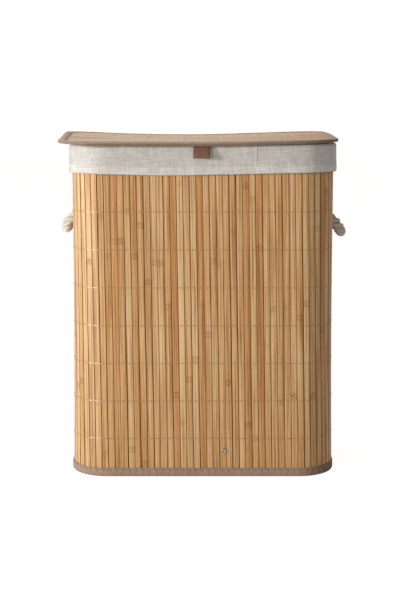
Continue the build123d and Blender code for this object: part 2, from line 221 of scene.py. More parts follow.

# %% [markdown]
# ## Split bamboo
# The slats are split from a bamboo culm, planed flat and given a thin satin varnish. That gives the eye a
# warm straw brown that changes from slat to slat, fine fibres along the length, a darker knuckle line here
# and there, and browner edges, which are partly painted shade at the gaps between slats. A brown band under
# each thread row is a painted shadow of the thread. Each slat carries three attributes: "grain" (metres
# across and along the slat), "slat_tone" and "slat_seed". The pattern reads those, so it follows a slat
# whichever way that slat lies. Real fibres are finer than the render can show, so they are drawn coarser.

# %% Bamboo values
FIBRE_WIDTH, FIBRE_LENGTH = 1.5 * MM, 0.14
STREAK_WIDTH, STREAK_LENGTH = 3.2 * MM, 0.3
MOTTLE_LENGTH = 4 * MM
BLUSH_WIDTH, BLUSH_LENGTH = 14 * MM, 0.22
SEED_SHIFT = (9.0, 5.0, 31.0)
KNUCKLE_SPACING = 0.36
KNUCKLE_HEIGHT = 19 * MM
KNUCKLE_ARCH = 5 * MM
BEND_SPREAD, PLACE_SPREAD = 17.0, 7.3
KNUCKLE_FAINT = 0.35
PATCH_START, PATCH_END, PATCH_FAINT = 0.34, 0.54, 0.3
ROUGH_DULL, ROUGH_SATIN = 0.56, 0.42
FIBRE_RELIEF = 0.35
THREAD_SHADOW_WIDTH = 1.2 * MM
STREAK_STOPS = [(0.32, "#c6ad8a"), (0.5, "#f3ece2"), (0.72, "#ffffff")]
FIBRE_STOPS = [(0.34, "#bd9c70"), (0.48, "#f4eadb"), (0.6, "#ffffff")]
BLUSH_STOPS = [(0.36, "#e3c59c"), (0.54, "#ffffff")]
KNUCKLE_STOPS = [(0.0, "#ffffff"), (0.2, "#ffffff"), (0.29, "#a98255"), (0.36, "#fffaf0"), (0.47, "#dcc49f"),
                 (0.55, "#f6ead6"), (0.64, "#b8945f"), (0.72, "#fff8ec"), (0.85, "#ffffff")]
STREAK_SHARE, FIBRE_SHARE, BLUSH_SHARE = 0.85, 0.85, 0.6
# Painted shadow of each thread row: a brown band across every slat.
THREAD_SHADOW_SHARE, THREAD_SHADOW_BROWN = 0.4, "#8a6236"
# Browner slat edges: partly the bamboo's own colour and partly painted shade at the gaps between slats.
EDGE_START, EDGE_SHARE, EDGE_BROWN = 0.84, 0.85, "#5f340a"
print("fibres", FIBRE_WIDTH, "m wide, knuckles", KNUCKLE_SPACING, "m apart")


# %% Bamboo material
def bamboo_layers(tree, grain, seed):
    """Noise stretched along the slat, at a place of its own for each seed: fibres, streaks, mottle, blush."""
    shift = add_node(tree, "ShaderNodeCombineXYZ", {"X": seed, "Y": seed, "Z": seed})
    moved = add_node(tree, "ShaderNodeVectorMath", {0: shift, 1: SEED_SHIFT, 2: grain},
                     operation="MULTIPLY_ADD")
    layers = []
    for width, length in ((FIBRE_WIDTH, FIBRE_LENGTH), (STREAK_WIDTH, STREAK_LENGTH),
                          (STREAK_WIDTH, MOTTLE_LENGTH), (BLUSH_WIDTH, BLUSH_LENGTH)):
        stretched = add_node(tree, "ShaderNodeMapping",
                             {"Vector": moved, "Scale": (1 / width, 1 / length, 1.0)})
        layers.append(add_node(tree, "ShaderNodeTexNoise",
                               {"Vector": stretched, "Scale": 1.0, "Detail": 3.0, "Roughness": 0.62}))
    return layers


def split_bamboo(name, half_width, row_offset, row_spacing, tones, gloss):
    """Varnished bamboo with fibres, knuckles, edges partly darkened as painted shade, and painted thread
    shadows.
    """
    material, tree, shader = new_material(name, Specular_IOR_Level=gloss)
    tone = add_node(tree, "ShaderNodeAttribute", attribute_name="slat_tone").outputs["Fac"]
    seed = add_node(tree, "ShaderNodeAttribute", attribute_name="slat_seed").outputs["Fac"]
    grain = add_node(tree, "ShaderNodeAttribute", attribute_name="grain").outputs["Vector"]
    place = add_node(tree, "ShaderNodeSeparateXYZ", {0: grain})
    across, along = place.outputs["X"], place.outputs["Y"]
    fibres, streaks, mottle, blush = bamboo_layers(tree, grain, seed)

    # A knuckle bends up or down across the slat, by an amount of the slat's own.
    side = add_node(tree, "ShaderNodeMath", {0: across}, operation="ABSOLUTE")
    aside = add_node(tree, "ShaderNodeMath", {0: side, 1: 1 / half_width}, operation="MULTIPLY")
    arch = add_node(tree, "ShaderNodeMath", {0: aside, 1: 2.0}, operation="POWER")
    own = add_node(tree, "ShaderNodeMath", {0: seed, 1: BEND_SPREAD}, operation="MULTIPLY")
    own = add_node(tree, "ShaderNodeMath", {0: own}, operation="FRACT")
    bend = add_node(tree, "ShaderNodeMapRange", {0: own, 3: -KNUCKLE_ARCH, 4: KNUCKLE_ARCH})
    arch = add_node(tree, "ShaderNodeMath", {0: arch, 1: bend, 2: along}, operation="MULTIPLY_ADD")
    arch = add_node(tree, "ShaderNodeMath", {0: mottle, 1: KNUCKLE_ARCH, 2: arch}, operation="MULTIPLY_ADD")
    turn = add_node(tree, "ShaderNodeMath", {0: seed, 1: PLACE_SPREAD}, operation="MULTIPLY")
    knuckle = add_node(tree, "ShaderNodeMath", {0: arch, 1: 1 / KNUCKLE_SPACING, 2: turn},
                       operation="MULTIPLY_ADD")
    row = add_node(tree, "ShaderNodeMath",
                   {0: along, 1: 1 / row_spacing, 2: 0.5 - row_offset / row_spacing},
                   operation="MULTIPLY_ADD")
    away = []
    for phase in (knuckle, row):
        part = add_node(tree, "ShaderNodeMath", {0: phase}, operation="FRACT")
        away.append(add_node(tree, "ShaderNodeMath", {0: part, 1: 0.5}, operation="SUBTRACT"))
    half = 0.5 * KNUCKLE_HEIGHT / KNUCKLE_SPACING
    level = add_node(tree, "ShaderNodeMapRange", {0: away[0], 1: -half, 2: half})
    knuckle_tint = add_node(tree, "ShaderNodeValToRGB", {"Fac": level}, stops=KNUCKLE_STOPS)
    strong = add_node(tree, "ShaderNodeMapRange", {0: own, 3: KNUCKLE_FAINT, 4: 1.0})
    patchy = add_node(tree, "ShaderNodeMapRange",
                      {0: mottle, 1: PATCH_START, 2: PATCH_END, 3: PATCH_FAINT, 4: 1.0})
    strong = add_node(tree, "ShaderNodeMath", {0: strong, 1: patchy}, operation="MULTIPLY")
    # Painted shadow of the thread: a brown band along each thread row.
    thread_shadow = add_node(tree, "ShaderNodeMath", {0: away[1]}, operation="ABSOLUTE")
    thread_shadow = add_node(tree, "ShaderNodeMapRange",
                    {0: thread_shadow, 1: 0.0, 2: THREAD_SHADOW_WIDTH / row_spacing, 3: THREAD_SHADOW_SHARE, 4: 0.0},
                    interpolation_type="SMOOTHSTEP")
    # Browner edges: partly the bamboo's own and partly painted shade at the gaps.
    edge = add_node(tree, "ShaderNodeMapRange", {0: aside, 1: EDGE_START, 2: 1.0, 3: 0.0, 4: EDGE_SHARE},
                    interpolation_type="SMOOTHSTEP")

    # Each layer darkens the slat's tone, and the painted thread shadows and the edges' brown, partly painted
    # shade, lie over them all.
    colour = add_node(tree, "ShaderNodeValToRGB", {"Fac": tone}, stops=tones)
    streak_tint = add_node(tree, "ShaderNodeValToRGB", {"Fac": streaks}, stops=STREAK_STOPS)
    fibre_tint = add_node(tree, "ShaderNodeValToRGB", {"Fac": fibres}, stops=FIBRE_STOPS)
    blush_tint = add_node(tree, "ShaderNodeValToRGB", {"Fac": blush}, stops=BLUSH_STOPS)
    for tint, share in ((streak_tint, STREAK_SHARE), (fibre_tint, FIBRE_SHARE), (blush_tint, BLUSH_SHARE),
                        (knuckle_tint, strong)):
        colour = add_node(tree, "ShaderNodeMix", {0: share, 6: colour, 7: tint}, data_type="RGBA",
                          blend_type="MULTIPLY").outputs[2]
    for mark, brown in ((thread_shadow, THREAD_SHADOW_BROWN), (edge, EDGE_BROWN)):
        colour = add_node(tree, "ShaderNodeMix", {0: mark, 6: colour, 7: linear(brown)},
                          data_type="RGBA").outputs[2]
    rough = add_node(tree, "ShaderNodeMapRange", {0: fibres, 1: 0.3, 2: 0.7, 3: ROUGH_DULL, 4: ROUGH_SATIN})
    height = add_node(tree, "ShaderNodeMath", {0: fibres, 1: FIBRE_RELIEF, 2: knuckle_tint},
                      operation="MULTIPLY_ADD")
    relief = add_node(tree, "ShaderNodeBump", {"Strength": 0.45, "Distance": 0.25 * MM, "Height": height})
    set_inputs(tree, shader, {"Base Color": colour, "Roughness": rough, "Normal": relief})
    return material


# %% Bamboo of the wall and of the lid
THREAD_FIRST_HEIGHT = 58 * MM
THREAD_SPACING = 57 * MM
LID_THREAD_SPACING = 58 * MM
WALL_MIDDLE = (WALL_BOTTOM + WALL_TOP) / 2
WALL_TONES = [(0.0, "#cb9d66"), (0.15, "#d0a571"), (0.3, "#d5af7f"), (0.6, "#d9b789"), (1.0, "#ddc095")]
LID_TONES = [(0.0, "#bb9a6b"), (0.4, "#c9ab7e"), (1.0, "#d4bc92")]
SLAT_WIDTH = 9.45 * MM
LID_SLAT_WIDTH = 9.4 * MM
WALL_GLOSS, LID_GLOSS = 0.42, 0.12
wall_bamboo = split_bamboo("varnished_split_bamboo", SLAT_WIDTH / 2, THREAD_FIRST_HEIGHT - WALL_MIDDLE,
                           THREAD_SPACING, WALL_TONES, WALL_GLOSS)
lid_bamboo = split_bamboo("varnished_lid_bamboo", LID_SLAT_WIDTH / 2, 0.0, LID_THREAD_SPACING, LID_TONES,
                          LID_GLOSS)
print("bamboo materials", wall_bamboo.name, lid_bamboo.name)

# %% [markdown]
# ## Woven cloth
# The liner is unbleached linen and cotton: a plain weave with thicker slub threads that catch the light. The
# bindings, hinge tape and tab are tighter cotton canvas. One builder makes all of them from a UV map that is
# in metres. A real thread is about half a millimetre, too fine to show in the render, so it is drawn coarser.
# The attribute "cloth_shade" makes cloth paler where it is doubled, and holds painted light and shade.


# %% Cloth material
WAVE_PERIOD = 2 * math.pi / 20
SLUB_WIDTH = 1.6
DYE_PATCH = 0.04
CLOTH_STOPS = (0.44, 0.65, 0.88)
WEAVE_WEIGHT, SLUB_WEIGHT, DYE_WEIGHT = 0.25, 0.45, 0.25


def woven_cloth(name, thread, slub_length, tones, sheen=0.22):
    """Plain weave with slubs. Tones are three hex colours, dark to light."""
    material, tree, shader = new_material(name, Roughness=0.92, Specular_IOR_Level=0.2, Sheen_Weight=sheen,
                                          Sheen_Roughness=0.45)
    flat = add_node(tree, "ShaderNodeUVMap")
    threads = []
    for direction in "XY":
        wave = add_node(tree, "ShaderNodeTexWave",
                        {"Vector": flat, "Scale": WAVE_PERIOD / thread, "Distortion": 0.8, "Detail": 1.0,
                         "Detail Scale": 0.6}, bands_direction=direction)
        threads.append(wave.outputs["Fac"])
    weave = add_node(tree, "ShaderNodeMath", {0: threads[0], 1: threads[1]}, operation="MULTIPLY")
    slubs = []
    along, across = 1 / slub_length, 1 / (SLUB_WIDTH * thread)
    for scale in ((along, across, 1), (across, along, 1)):
        stretched = add_node(tree, "ShaderNodeMapping", {"Vector": flat, "Scale": scale})
        slubs.append(add_node(tree, "ShaderNodeTexNoise", {"Vector": stretched, "Scale": 1.0, "Detail": 2.0}))
    slub = add_node(tree, "ShaderNodeMath", {0: slubs[0], 1: slubs[1]}, operation="ADD")
    dye = add_node(tree, "ShaderNodeTexNoise", {"Vector": flat, "Scale": 1 / DYE_PATCH, "Detail": 3.0})
    tone = add_node(tree, "ShaderNodeMath", {0: weave, 1: WEAVE_WEIGHT}, operation="MULTIPLY")
    for layer, weight in ((slub, SLUB_WEIGHT), (dye, DYE_WEIGHT)):
        tone = add_node(tree, "ShaderNodeMath", {0: layer, 1: weight, 2: tone}, operation="MULTIPLY_ADD")
    colour = add_node(tree, "ShaderNodeValToRGB", {"Fac": tone}, stops=list(zip(CLOTH_STOPS, tones)))
    shade = add_node(tree, "ShaderNodeAttribute", attribute_name="cloth_shade").outputs["Fac"]
    shade = add_node(tree, "ShaderNodeMath", {0: shade, 1: 1.0}, operation="ADD")
    colour = add_node(tree, "ShaderNodeVectorMath", {0: colour, "Scale": shade}, operation="SCALE")
    height = add_node(tree, "ShaderNodeMath", {0: slub, 1: 0.6, 2: weave}, operation="MULTIPLY_ADD")
    relief = add_node(tree, "ShaderNodeBump", {"Strength": 0.5, "Distance": 0.4 * thread, "Height": height})
    set_inputs(tree, shader, {"Base Color": colour, "Normal": relief})
    return material


linen = woven_cloth("unbleached_linen", 1.3 * MM, 22 * MM, ("#aaa49c", "#c3bfb9", "#d9d5d0"), sheen=1.0)
taupe_canvas = woven_cloth("taupe_cotton_canvas", 1.0 * MM, 9 * MM, ("#8a7161", "#9d8371", "#ac9483"))
brown_canvas = woven_cloth("brown_cotton_canvas", 1.0 * MM, 9 * MM, ("#6a4d3f", "#7a5849", "#8a6756"))
# The backing cloth is brown as painted shade: it shows only in the gaps between the slats.
backing_cloth = woven_cloth("glued_backing_cloth", 1.1 * MM, 14 * MM, ("#745029", "#865f34", "#946d42"))
print("cloths", [cloth.name for cloth in (linen, taupe_canvas, brown_canvas, backing_cloth)])

# %% [markdown]
# ## Thread, rope, metal and board
# Cotton thread and rope are matt and slightly fuzzy. The rope's strands carry yarn lines that run askew,
# because the yarns are twisted too. The eyelets and the rivet are zinc plated steel with the faint blotches
# of its plating, and the hidden base is fibreboard, pressed from chips.


# %% Thread, metal and board materials
def mottled(name, patch, detail, stops, **constants):
    """Material whose colour changes in patches of a size. Returns it with its tree, shader and two nodes."""
    material, tree, shader = new_material(name, **constants)
    place = add_node(tree, "ShaderNodeTexCoord").outputs["Object"]
    patches = add_node(tree, "ShaderNodeTexNoise", {"Vector": place, "Scale": 1 / patch, "Detail": detail})
    tint = add_node(tree, "ShaderNodeValToRGB", {"Fac": patches}, stops=stops)
    set_inputs(tree, shader, {"Base Color": tint})
    return material, tree, shader, patches, tint


def sewing_thread(name, dark, light):
    """Matt spun thread for stitches, a little uneven along its length."""
    return mottled(name, 1.2 * MM, 2.0, [(0.35, dark), (0.65, light)], Roughness=0.8, Sheen_Weight=0.2,
                   Specular_IOR_Level=0.25)[0]


pale_stitch = sewing_thread("pale_sewing_thread", "#e2ddd4", "#f4f1eb")
lid_thread = sewing_thread("bleached_cotton_thread", "#c2ad8b", "#d4c19f")
taupe_stitch = sewing_thread("taupe_sewing_thread", "#7c6455", "#937a69")

TWIST_SHARE = 0.8
THREAD_STOPS = [(0.0, "#9c7446"), (0.4, "#b9935f"), (0.75, "#e4cda6"), (1.0, "#f6e6cf")]
cotton_thread, tree, shader, _, twist = mottled(
    "cotton_thread", 1.5 * MM, 2.0, [(0.35, "#d8c9b4"), (0.6, "#ffffff")], Roughness=0.85, Sheen_Weight=0.3,
    Specular_IOR_Level=0.2)
# The thread's tone holds random unevenness and painted light: paler in the gaps, whitest as a highlight where
# doubled.
brightness = add_node(tree, "ShaderNodeAttribute", attribute_name="thread_tone_and_light").outputs["Fac"]
colour = add_node(tree, "ShaderNodeValToRGB", {"Fac": brightness}, stops=THREAD_STOPS)
mixed = add_node(tree, "ShaderNodeMix", {0: TWIST_SHARE, 6: colour, 7: twist}, data_type="RGBA",
                 blend_type="MULTIPLY")
set_inputs(tree, shader, {"Base Color": mixed.outputs[2]})

plated_steel, tree, shader, blotch, _ = mottled(
    "zinc_plated_steel", 1.8 * MM, 3.0, [(0.3, "#77716a"), (0.7, "#9d9890")], Metallic=1.0)
rough = add_node(tree, "ShaderNodeMapRange", {0: blotch, 1: 0.3, 2: 0.7, 3: 0.48, 4: 0.3})
set_inputs(tree, shader, {"Roughness": rough})
fibreboard = mottled("pressed_fibreboard", 1.6 * MM, 5.0, [(0.3, "#7d5f43"), (0.7, "#a98a66")],
                     Roughness=0.85)[0]
KEPT_NODES = {"rim_hoop": plated_steel, "rivet_washer": plated_steel, "base_board": fibreboard}
for node, material in KEPT_NODES.items():
    kept = frame["nodes"][node]
    kept.data.materials.clear()
    kept.data.materials.append(material)
print("threads, steel and board", len(bpy.data.materials), "materials so far")

# %% Rope material
YARN_SPACING = 1.7 * MM
YARN_SLANT = math.radians(58)
FUZZ_SIZE = 2.2 * MM
ROPE_STOPS = [(0.2, "#9f9280"), (0.6, "#c6bdad"), (1.0, "#d8d0c3")]
cotton_rope, tree, shader = new_material("twisted_cotton_rope", Roughness=0.95, Sheen_Weight=0.35,
                                         Sheen_Roughness=0.5, Specular_IOR_Level=0.15)
flat = add_node(tree, "ShaderNodeUVMap")
askew = add_node(tree, "ShaderNodeMapping", {"Vector": flat, "Rotation": (0, 0, YARN_SLANT)})
yarn = add_node(tree, "ShaderNodeTexWave", {"Vector": askew, "Scale": WAVE_PERIOD / YARN_SPACING,
                                            "Distortion": 1.2, "Detail": 2.0, "Detail Scale": 1.5})
fuzz = add_node(tree, "ShaderNodeTexNoise", {"Vector": flat, "Scale": 1 / FUZZ_SIZE, "Detail": 4.0})
height = add_node(tree, "ShaderNodeMath", {0: fuzz, 1: 0.7, 2: yarn.outputs["Fac"]}, operation="MULTIPLY_ADD")
colour = add_node(tree, "ShaderNodeValToRGB", {"Fac": height}, stops=ROPE_STOPS)
relief = add_node(tree, "ShaderNodeBump", {"Strength": 0.7, "Distance": 0.5 * MM, "Height": height})
set_inputs(tree, shader, {"Base Color": colour, "Normal": relief})
print("rope", cotton_rope.name)

# %% [markdown]
# ## Growing pieces with Geometry Nodes
# The slats, threads and stitches repeat, so each kind has a node tree with named inputs. A tree is put on an
# empty object, its inputs are set by their identifiers, and the result is read back as a plain mesh.


# %% Tree helpers
def new_tree(name, floats, ints):
    """Geometry tree with these inputs and a material. Returns the tree and its input sockets by label."""
    tree = bpy.data.node_groups.new(name, "GeometryNodeTree")
    kinds = {"Geometry": "NodeSocketGeometry", "Material": "NodeSocketMaterial"}
    kinds.update({label: "NodeSocketFloat" for label in floats})
    kinds.update({label: "NodeSocketInt" for label in ints})
    for label, kind in kinds.items():
        tree.interface.new_socket(label, in_out="INPUT", socket_type=kind)
    tree.interface.new_socket("Geometry", in_out="OUTPUT", socket_type="NodeSocketGeometry")
    return tree, add_node(tree, "NodeGroupInput").outputs


def end_tree(tree, instances, material):
    """Last nodes of every tree: real geometry, smooth shading, material, output."""
    real = add_node(tree, "GeometryNodeRealizeInstances", {0: instances})
    smooth = add_node(tree, "GeometryNodeSetShadeSmooth", {"Geometry": real})
    painted = add_node(tree, "GeometryNodeSetMaterial", {"Geometry": smooth, "Material": material})
    add_node(tree, "NodeGroupOutput", {0: painted})
    return tree


def plain_mesh(piece):
    """New mesh of a piece as its modifiers leave it."""
    depsgraph = bpy.context.evaluated_depsgraph_get()
    return bpy.data.meshes.new_from_object(piece.evaluated_get(depsgraph), preserve_all_data_layers=True,
                                           depsgraph=depsgraph)


def grow(name, tree, values, base_mesh=None):
    """Run a tree with these input values. Returns an object that holds the result as a plain mesh."""
    piece = bpy.data.objects.new(name, base_mesh or bpy.data.meshes.new(name))
    scene.collection.objects.link(piece)
    modifier = piece.modifiers.new("growth", "NODES")
    modifier.node_group = tree
    for item in tree.interface.items_tree:
        if item.in_out == "INPUT" and item.name in values:
            modifier[item.identifier] = values[item.name]
    mesh = plain_mesh(piece)
    piece.modifiers.remove(modifier)
    piece.data = mesh
    mesh.name = name
    print(name, len(mesh.vertices), "points", len(mesh.polygons), "faces")
    return piece


def finish_piece(piece, body, slot, *nodes):
    """The piece moves with a body and stands for these solids, which it hides. The slot is not used."""
    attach(piece, body)
    if nodes:
        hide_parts(*nodes)
    return piece


# %% [markdown]
# ## One slat
# A slat is a line with a section swept along it. The section is a circle pushed towards a rectangle by
# raising its coordinates to a small power (a superellipse): that gives a flat face with a slight crown and
# eased edges in one formula. Each slat stores where it is across and along, for the grain.


# %% Slat nodes
SLAT_SQUARENESS = 0.3
SECTION_POINTS = 16
SLAT_POINTS = 13


def slat_nodes(tree, width, thickness, length):
    """One slat along Z, centred, as wide as X and as thick as Y. Returns its geometry."""
    circle = add_node(tree, "GeometryNodeCurvePrimitiveCircle", {"Resolution": SECTION_POINTS, 4: 1.0})
    place = add_node(tree, "GeometryNodeInputPosition")
    axes = add_node(tree, "ShaderNodeSeparateXYZ", {0: place})
    squared = []
    for axis, size in (("X", width), ("Y", thickness)):
        far = add_node(tree, "ShaderNodeMath", {0: axes.outputs[axis]}, operation="ABSOLUTE")
        far = add_node(tree, "ShaderNodeMath", {0: far, 1: SLAT_SQUARENESS}, operation="POWER")
        side = add_node(tree, "ShaderNodeMath", {0: axes.outputs[axis]}, operation="SIGN")
        half = add_node(tree, "ShaderNodeMath", {0: size, 1: 0.5}, operation="MULTIPLY")
        far = add_node(tree, "ShaderNodeMath", {0: far, 1: half}, operation="MULTIPLY")
        squared.append(add_node(tree, "ShaderNodeMath", {0: far, 1: side}, operation="MULTIPLY"))
    corner = add_node(tree, "ShaderNodeCombineXYZ", {"X": squared[0], "Y": squared[1]})
    section = add_node(tree, "GeometryNodeSetPosition", {"Geometry": circle, "Position": corner})
    half = add_node(tree, "ShaderNodeMath", {0: length, 1: 0.5}, operation="MULTIPLY")
    top = add_node(tree, "ShaderNodeCombineXYZ", {"Z": half})
    bottom = add_node(tree, "ShaderNodeVectorMath", {0: top, "Scale": -1.0}, operation="SCALE")
    line = add_node(tree, "GeometryNodeCurvePrimitiveLine", {"Start": bottom, "End": top})
    line = add_node(tree, "GeometryNodeResampleCurve", {"Curve": line, "Count": SLAT_POINTS})
    slat = add_node(tree, "GeometryNodeCurveToMesh",
                    {"Curve": line, "Profile Curve": section, "Fill Caps": True})
    across_along = add_node(tree, "ShaderNodeCombineXYZ", {"X": axes.outputs["X"], "Y": axes.outputs["Z"]})
    return add_node(tree, "GeometryNodeStoreNamedAttribute",
                    {"Geometry": slat, "Name": "grain", "Value": across_along},
                    data_type="FLOAT_VECTOR", domain="POINT")


def random_values(tree, seed, ranges):
    """A random value for each point and label, between a low and a high. Each label has its own seed."""
    values = {}
    for step, (label, low, high) in enumerate(ranges):
        own_seed = add_node(tree, "ShaderNodeMath", {0: seed, 1: step}, operation="ADD")
        values[label] = add_node(tree, "FunctionNodeRandomValue", {2: low, 3: high, 8: own_seed}).outputs[1]
    return values


def set_slats(tree, size, points, vary, rotation, scale):
    """End a tree with a slat on each point, which hands the slat its tone and seed."""
    for label in ("slat_tone", "slat_seed"):
        points = add_node(tree, "GeometryNodeStoreNamedAttribute",
                          {"Geometry": points, "Name": label, "Value": vary[label]},
                          data_type="FLOAT", domain="POINT")
    slat = slat_nodes(tree, size["Slat Width"], size["Slat Thickness"], size["Slat Length"])
    slats = add_node(tree, "GeometryNodeInstanceOnPoints",
                     {"Points": points, "Instance": slat, "Rotation": rotation, "Scale": scale})
    return end_tree(tree, slats, size["Material"])


# %% [markdown]
# ## Wall of upright slats
# The wall stands on a rounded rectangle. The tree draws that outline, spaces points along it and stands a
# slat on each. Real slats differ a little, so width, place, depth and lean vary by a seed, and each slat has
# its own tone.


# %% Wall slats
CORNER_POINTS = 40
WIDTH_RANGE = (0.95, 1.03)
THICKNESS_RANGE = (0.92, 1.0)
UP = (0, 0, 1)


def rounded_outline(tree, size):
    """Rectangle with rounded corners, as a curve."""
    outline = add_node(tree, "GeometryNodeCurvePrimitiveQuadrilateral",
                       {"Width": size["Width"], "Height": size["Depth"]})
    return add_node(tree, "GeometryNodeFilletCurve",
                    {"Curve": outline, "Count": CORNER_POINTS, "Radius": size["Corner Radius"]}, mode="POLY")


def upright_slat_tree():
    """Slats that stand along the wall's outline."""
    tree, size = new_tree("upright_slats", floats=(
        "Width", "Depth", "Corner Radius", "Slat Width", "Slat Thickness", "Slat Length", "Middle Height",
        "Looseness", "Lean"), ints=("Slat Count", "Seed"))
    spaced = add_node(tree, "GeometryNodeCurveToPoints",
                      {"Curve": rounded_outline(tree, size), "Count": size["Slat Count"]})
    along = spaced.outputs["Tangent"]
    outward = add_node(tree, "ShaderNodeVectorMath", {0: along, 1: UP}, operation="CROSS_PRODUCT")
    back = add_node(tree, "ShaderNodeMath", {0: size["Lean"], 1: -1.0}, operation="MULTIPLY")
    tight = add_node(tree, "ShaderNodeMath", {0: size["Looseness"], 1: -1.0}, operation="MULTIPLY")
    vary = random_values(tree, size["Seed"], (
        ("slat_tone", 0.0, 1.0), ("slat_seed", 0.0, 1.0), ("sideways", tight, size["Looseness"]),
        ("inwards", tight, 0.0), ("lean", back, size["Lean"]), ("width", *WIDTH_RANGE),
        ("thickness", *THICKNESS_RANGE)))
    shifts = [add_node(tree, "ShaderNodeVectorMath", {0: way, "Scale": vary[label]}, operation="SCALE")
              for way, label in ((along, "sideways"), (outward, "inwards"))]
    moved = add_node(tree, "ShaderNodeVectorMath", {0: shifts[0], 1: shifts[1]}, operation="ADD")
    lift = add_node(tree, "ShaderNodeCombineXYZ", {"Z": size["Middle Height"]})
    moved = add_node(tree, "ShaderNodeVectorMath", {0: moved, 1: lift}, operation="ADD")
    points = add_node(tree, "GeometryNodeSetPosition", {"Geometry": spaced, "Offset": moved})
    upright = add_node(tree, "FunctionNodeAxesToRotation", {"Primary Axis": UP, "Secondary Axis": along},
                       primary_axis="Z", secondary_axis="X")
    tilt = add_node(tree, "FunctionNodeAxisAngleToRotation", {"Axis": (0, 1, 0), "Angle": vary["lean"]})
    leaning = add_node(tree, "FunctionNodeRotateRotation", {"Rotation": upright, "Rotate By": tilt},
                       rotation_space="LOCAL")
    widths = add_node(tree, "ShaderNodeCombineXYZ", {"X": vary["width"], "Y": vary["thickness"], "Z": 1.0})
    return set_slats(tree, size, points, vary, leaning, widths)


wall_slats = grow("wall_slats", upright_slat_tree(), {
    "Width": 2 * WALL_X - SLAT_THICKNESS, "Depth": 2 * WALL_Y - SLAT_THICKNESS,
    "Corner Radius": CORNER_RADIUS - SLAT_THICKNESS / 2, "Slat Count": BODY_SLATS, "Slat Width": SLAT_WIDTH,
    "Slat Thickness": SLAT_THICKNESS, "Slat Length": WALL_TOP - WALL_BOTTOM, "Middle Height": WALL_MIDDLE,
    "Looseness": 0.2 * MM, "Lean": math.radians(0.05), "Seed": 11, "Material": wall_bamboo})

# %% [markdown]
# ## Bowed and leaning wall
# The photograph shows a wall that is drawn in a little at half height, as a slat wall between two stiff rims
# is, and slats that lean by almost one degree. One function moves any piece of the wall: it finds which way
# is outward, pulls the point in by a sine of its height, and slides it along the wall for the lean.


# %% Bow and lean
WALL_BOW = 1.3 * MM
SLAT_LEAN = math.radians(0.9)


def points_of(piece):
    """Coordinates of a piece's points, a row for each."""
    points = np.zeros(len(piece.data.vertices) * 3)
    piece.data.vertices.foreach_get("co", points)
    return points.reshape(-1, 3)


def set_points(piece, points):
    """Move a piece's points to these coordinates."""
    piece.data.vertices.foreach_set("co", points.ravel())
    piece.data.update()


def shape_wall(piece, lean=0.0):
    """Pull the middle of a wall piece inwards, and lean it."""
    points = points_of(piece)
    core = np.array([WALL_X - CORNER_RADIUS, WALL_Y - CORNER_RADIUS])
    outward = points[:, :2] - np.clip(points[:, :2], -core, core)
    outward /= np.maximum(np.linalg.norm(outward, axis=1, keepdims=True), 1e-9)
    along = np.stack([-outward[:, 1], outward[:, 0]], axis=1)
    height = np.clip(points[:, 2] / WALL_TOP, 0, 1)
    points[:, :2] -= outward * (WALL_BOW * np.sin(np.pi * height))[:, None]
    points[:, :2] += along * ((WALL_MIDDLE - points[:, 2]) * math.tan(lean))[:, None]
    set_points(piece, points)


shape_wall(wall_slats, SLAT_LEAN)
finish_piece(wall_slats, "basket", "bamboo", "front_slats", "rear_slats", "left_slats", "right_slats",
             "front_left_corner_slats", "front_right_corner_slats", "rear_left_corner_slats",
             "rear_right_corner_slats")
print("wall drawn in by", WALL_BOW, "m at half height")

# %% [markdown]
# ## Thread rows
# Rows of cotton thread tie the slats. A thread lies on each slat and dips into the gap to the next, where it
# is wound round. The tree resamples the outline with eight points to a slat and sinks those in the gaps,
# where the thread is painted paler, as light. On the left the rows begin, and there the thread is doubled
# for two slats, drawn thicker, and painted whiter as a highlight.


# %% Wall threads
THREAD_ROWS = 8
THREAD_RADIUS = 0.42 * MM
THREAD_LIFT = 0.25 * MM
THREAD_SIDES = 5
POINTS_PER_SLAT = 8
GAP_SHARPNESS = 3.0
DOUBLED_SCALE = 1.5
FUZZ_SCALE, SWAY_SCALE = 60.0, 16.0
# Random unevenness of the thread, and painted light where it loops through the gaps.
FUZZ_TONE, GAP_PAINTED_LIGHT = 0.5, 0.55
THREAD_SWAY = 1.1 * MM


def gap_depth(tree, on_slat):
    """0 on the slats and 1 in the gaps. The first point is on a slat for 1 and in a gap for -1."""
    index = add_node(tree, "GeometryNodeInputIndex")
    turn = add_node(tree, "ShaderNodeMath", {0: index, 1: 2 * math.pi / POINTS_PER_SLAT},
                    operation="MULTIPLY")
    wave = add_node(tree, "ShaderNodeMath", {0: turn}, operation="COSINE")
    sunk = add_node(tree, "ShaderNodeMapRange", {0: wave, 1: on_slat, 2: -on_slat, 3: 0.0, 4: 1.0})
    return add_node(tree, "ShaderNodeMath", {0: sunk, 1: GAP_SHARPNESS}, operation="POWER")


def thread_rows(tree, size, curve, tone, start, step, tube):
    """Thread along a curve, set at a start and again at each step. Its tone is stored for the material, and
    tube holds the further inputs of the tube."""
    toned = add_node(tree, "GeometryNodeStoreNamedAttribute",
                     {"Geometry": curve, "Name": "thread_tone_and_light", "Value": tone},
                     data_type="FLOAT", domain="POINT")
    section = add_node(tree, "GeometryNodeCurvePrimitiveCircle",
                       {"Resolution": THREAD_SIDES, 4: size["Thread Radius"]})
    thread = add_node(tree, "GeometryNodeCurveToMesh", {"Curve": toned, "Profile Curve": section} | tube)
    places = add_node(tree, "GeometryNodeMeshLine",
                      {"Count": size["Rows"], "Start Location": start, "Offset": step})
    return add_node(tree, "GeometryNodeInstanceOnPoints", {"Points": places, "Instance": thread})


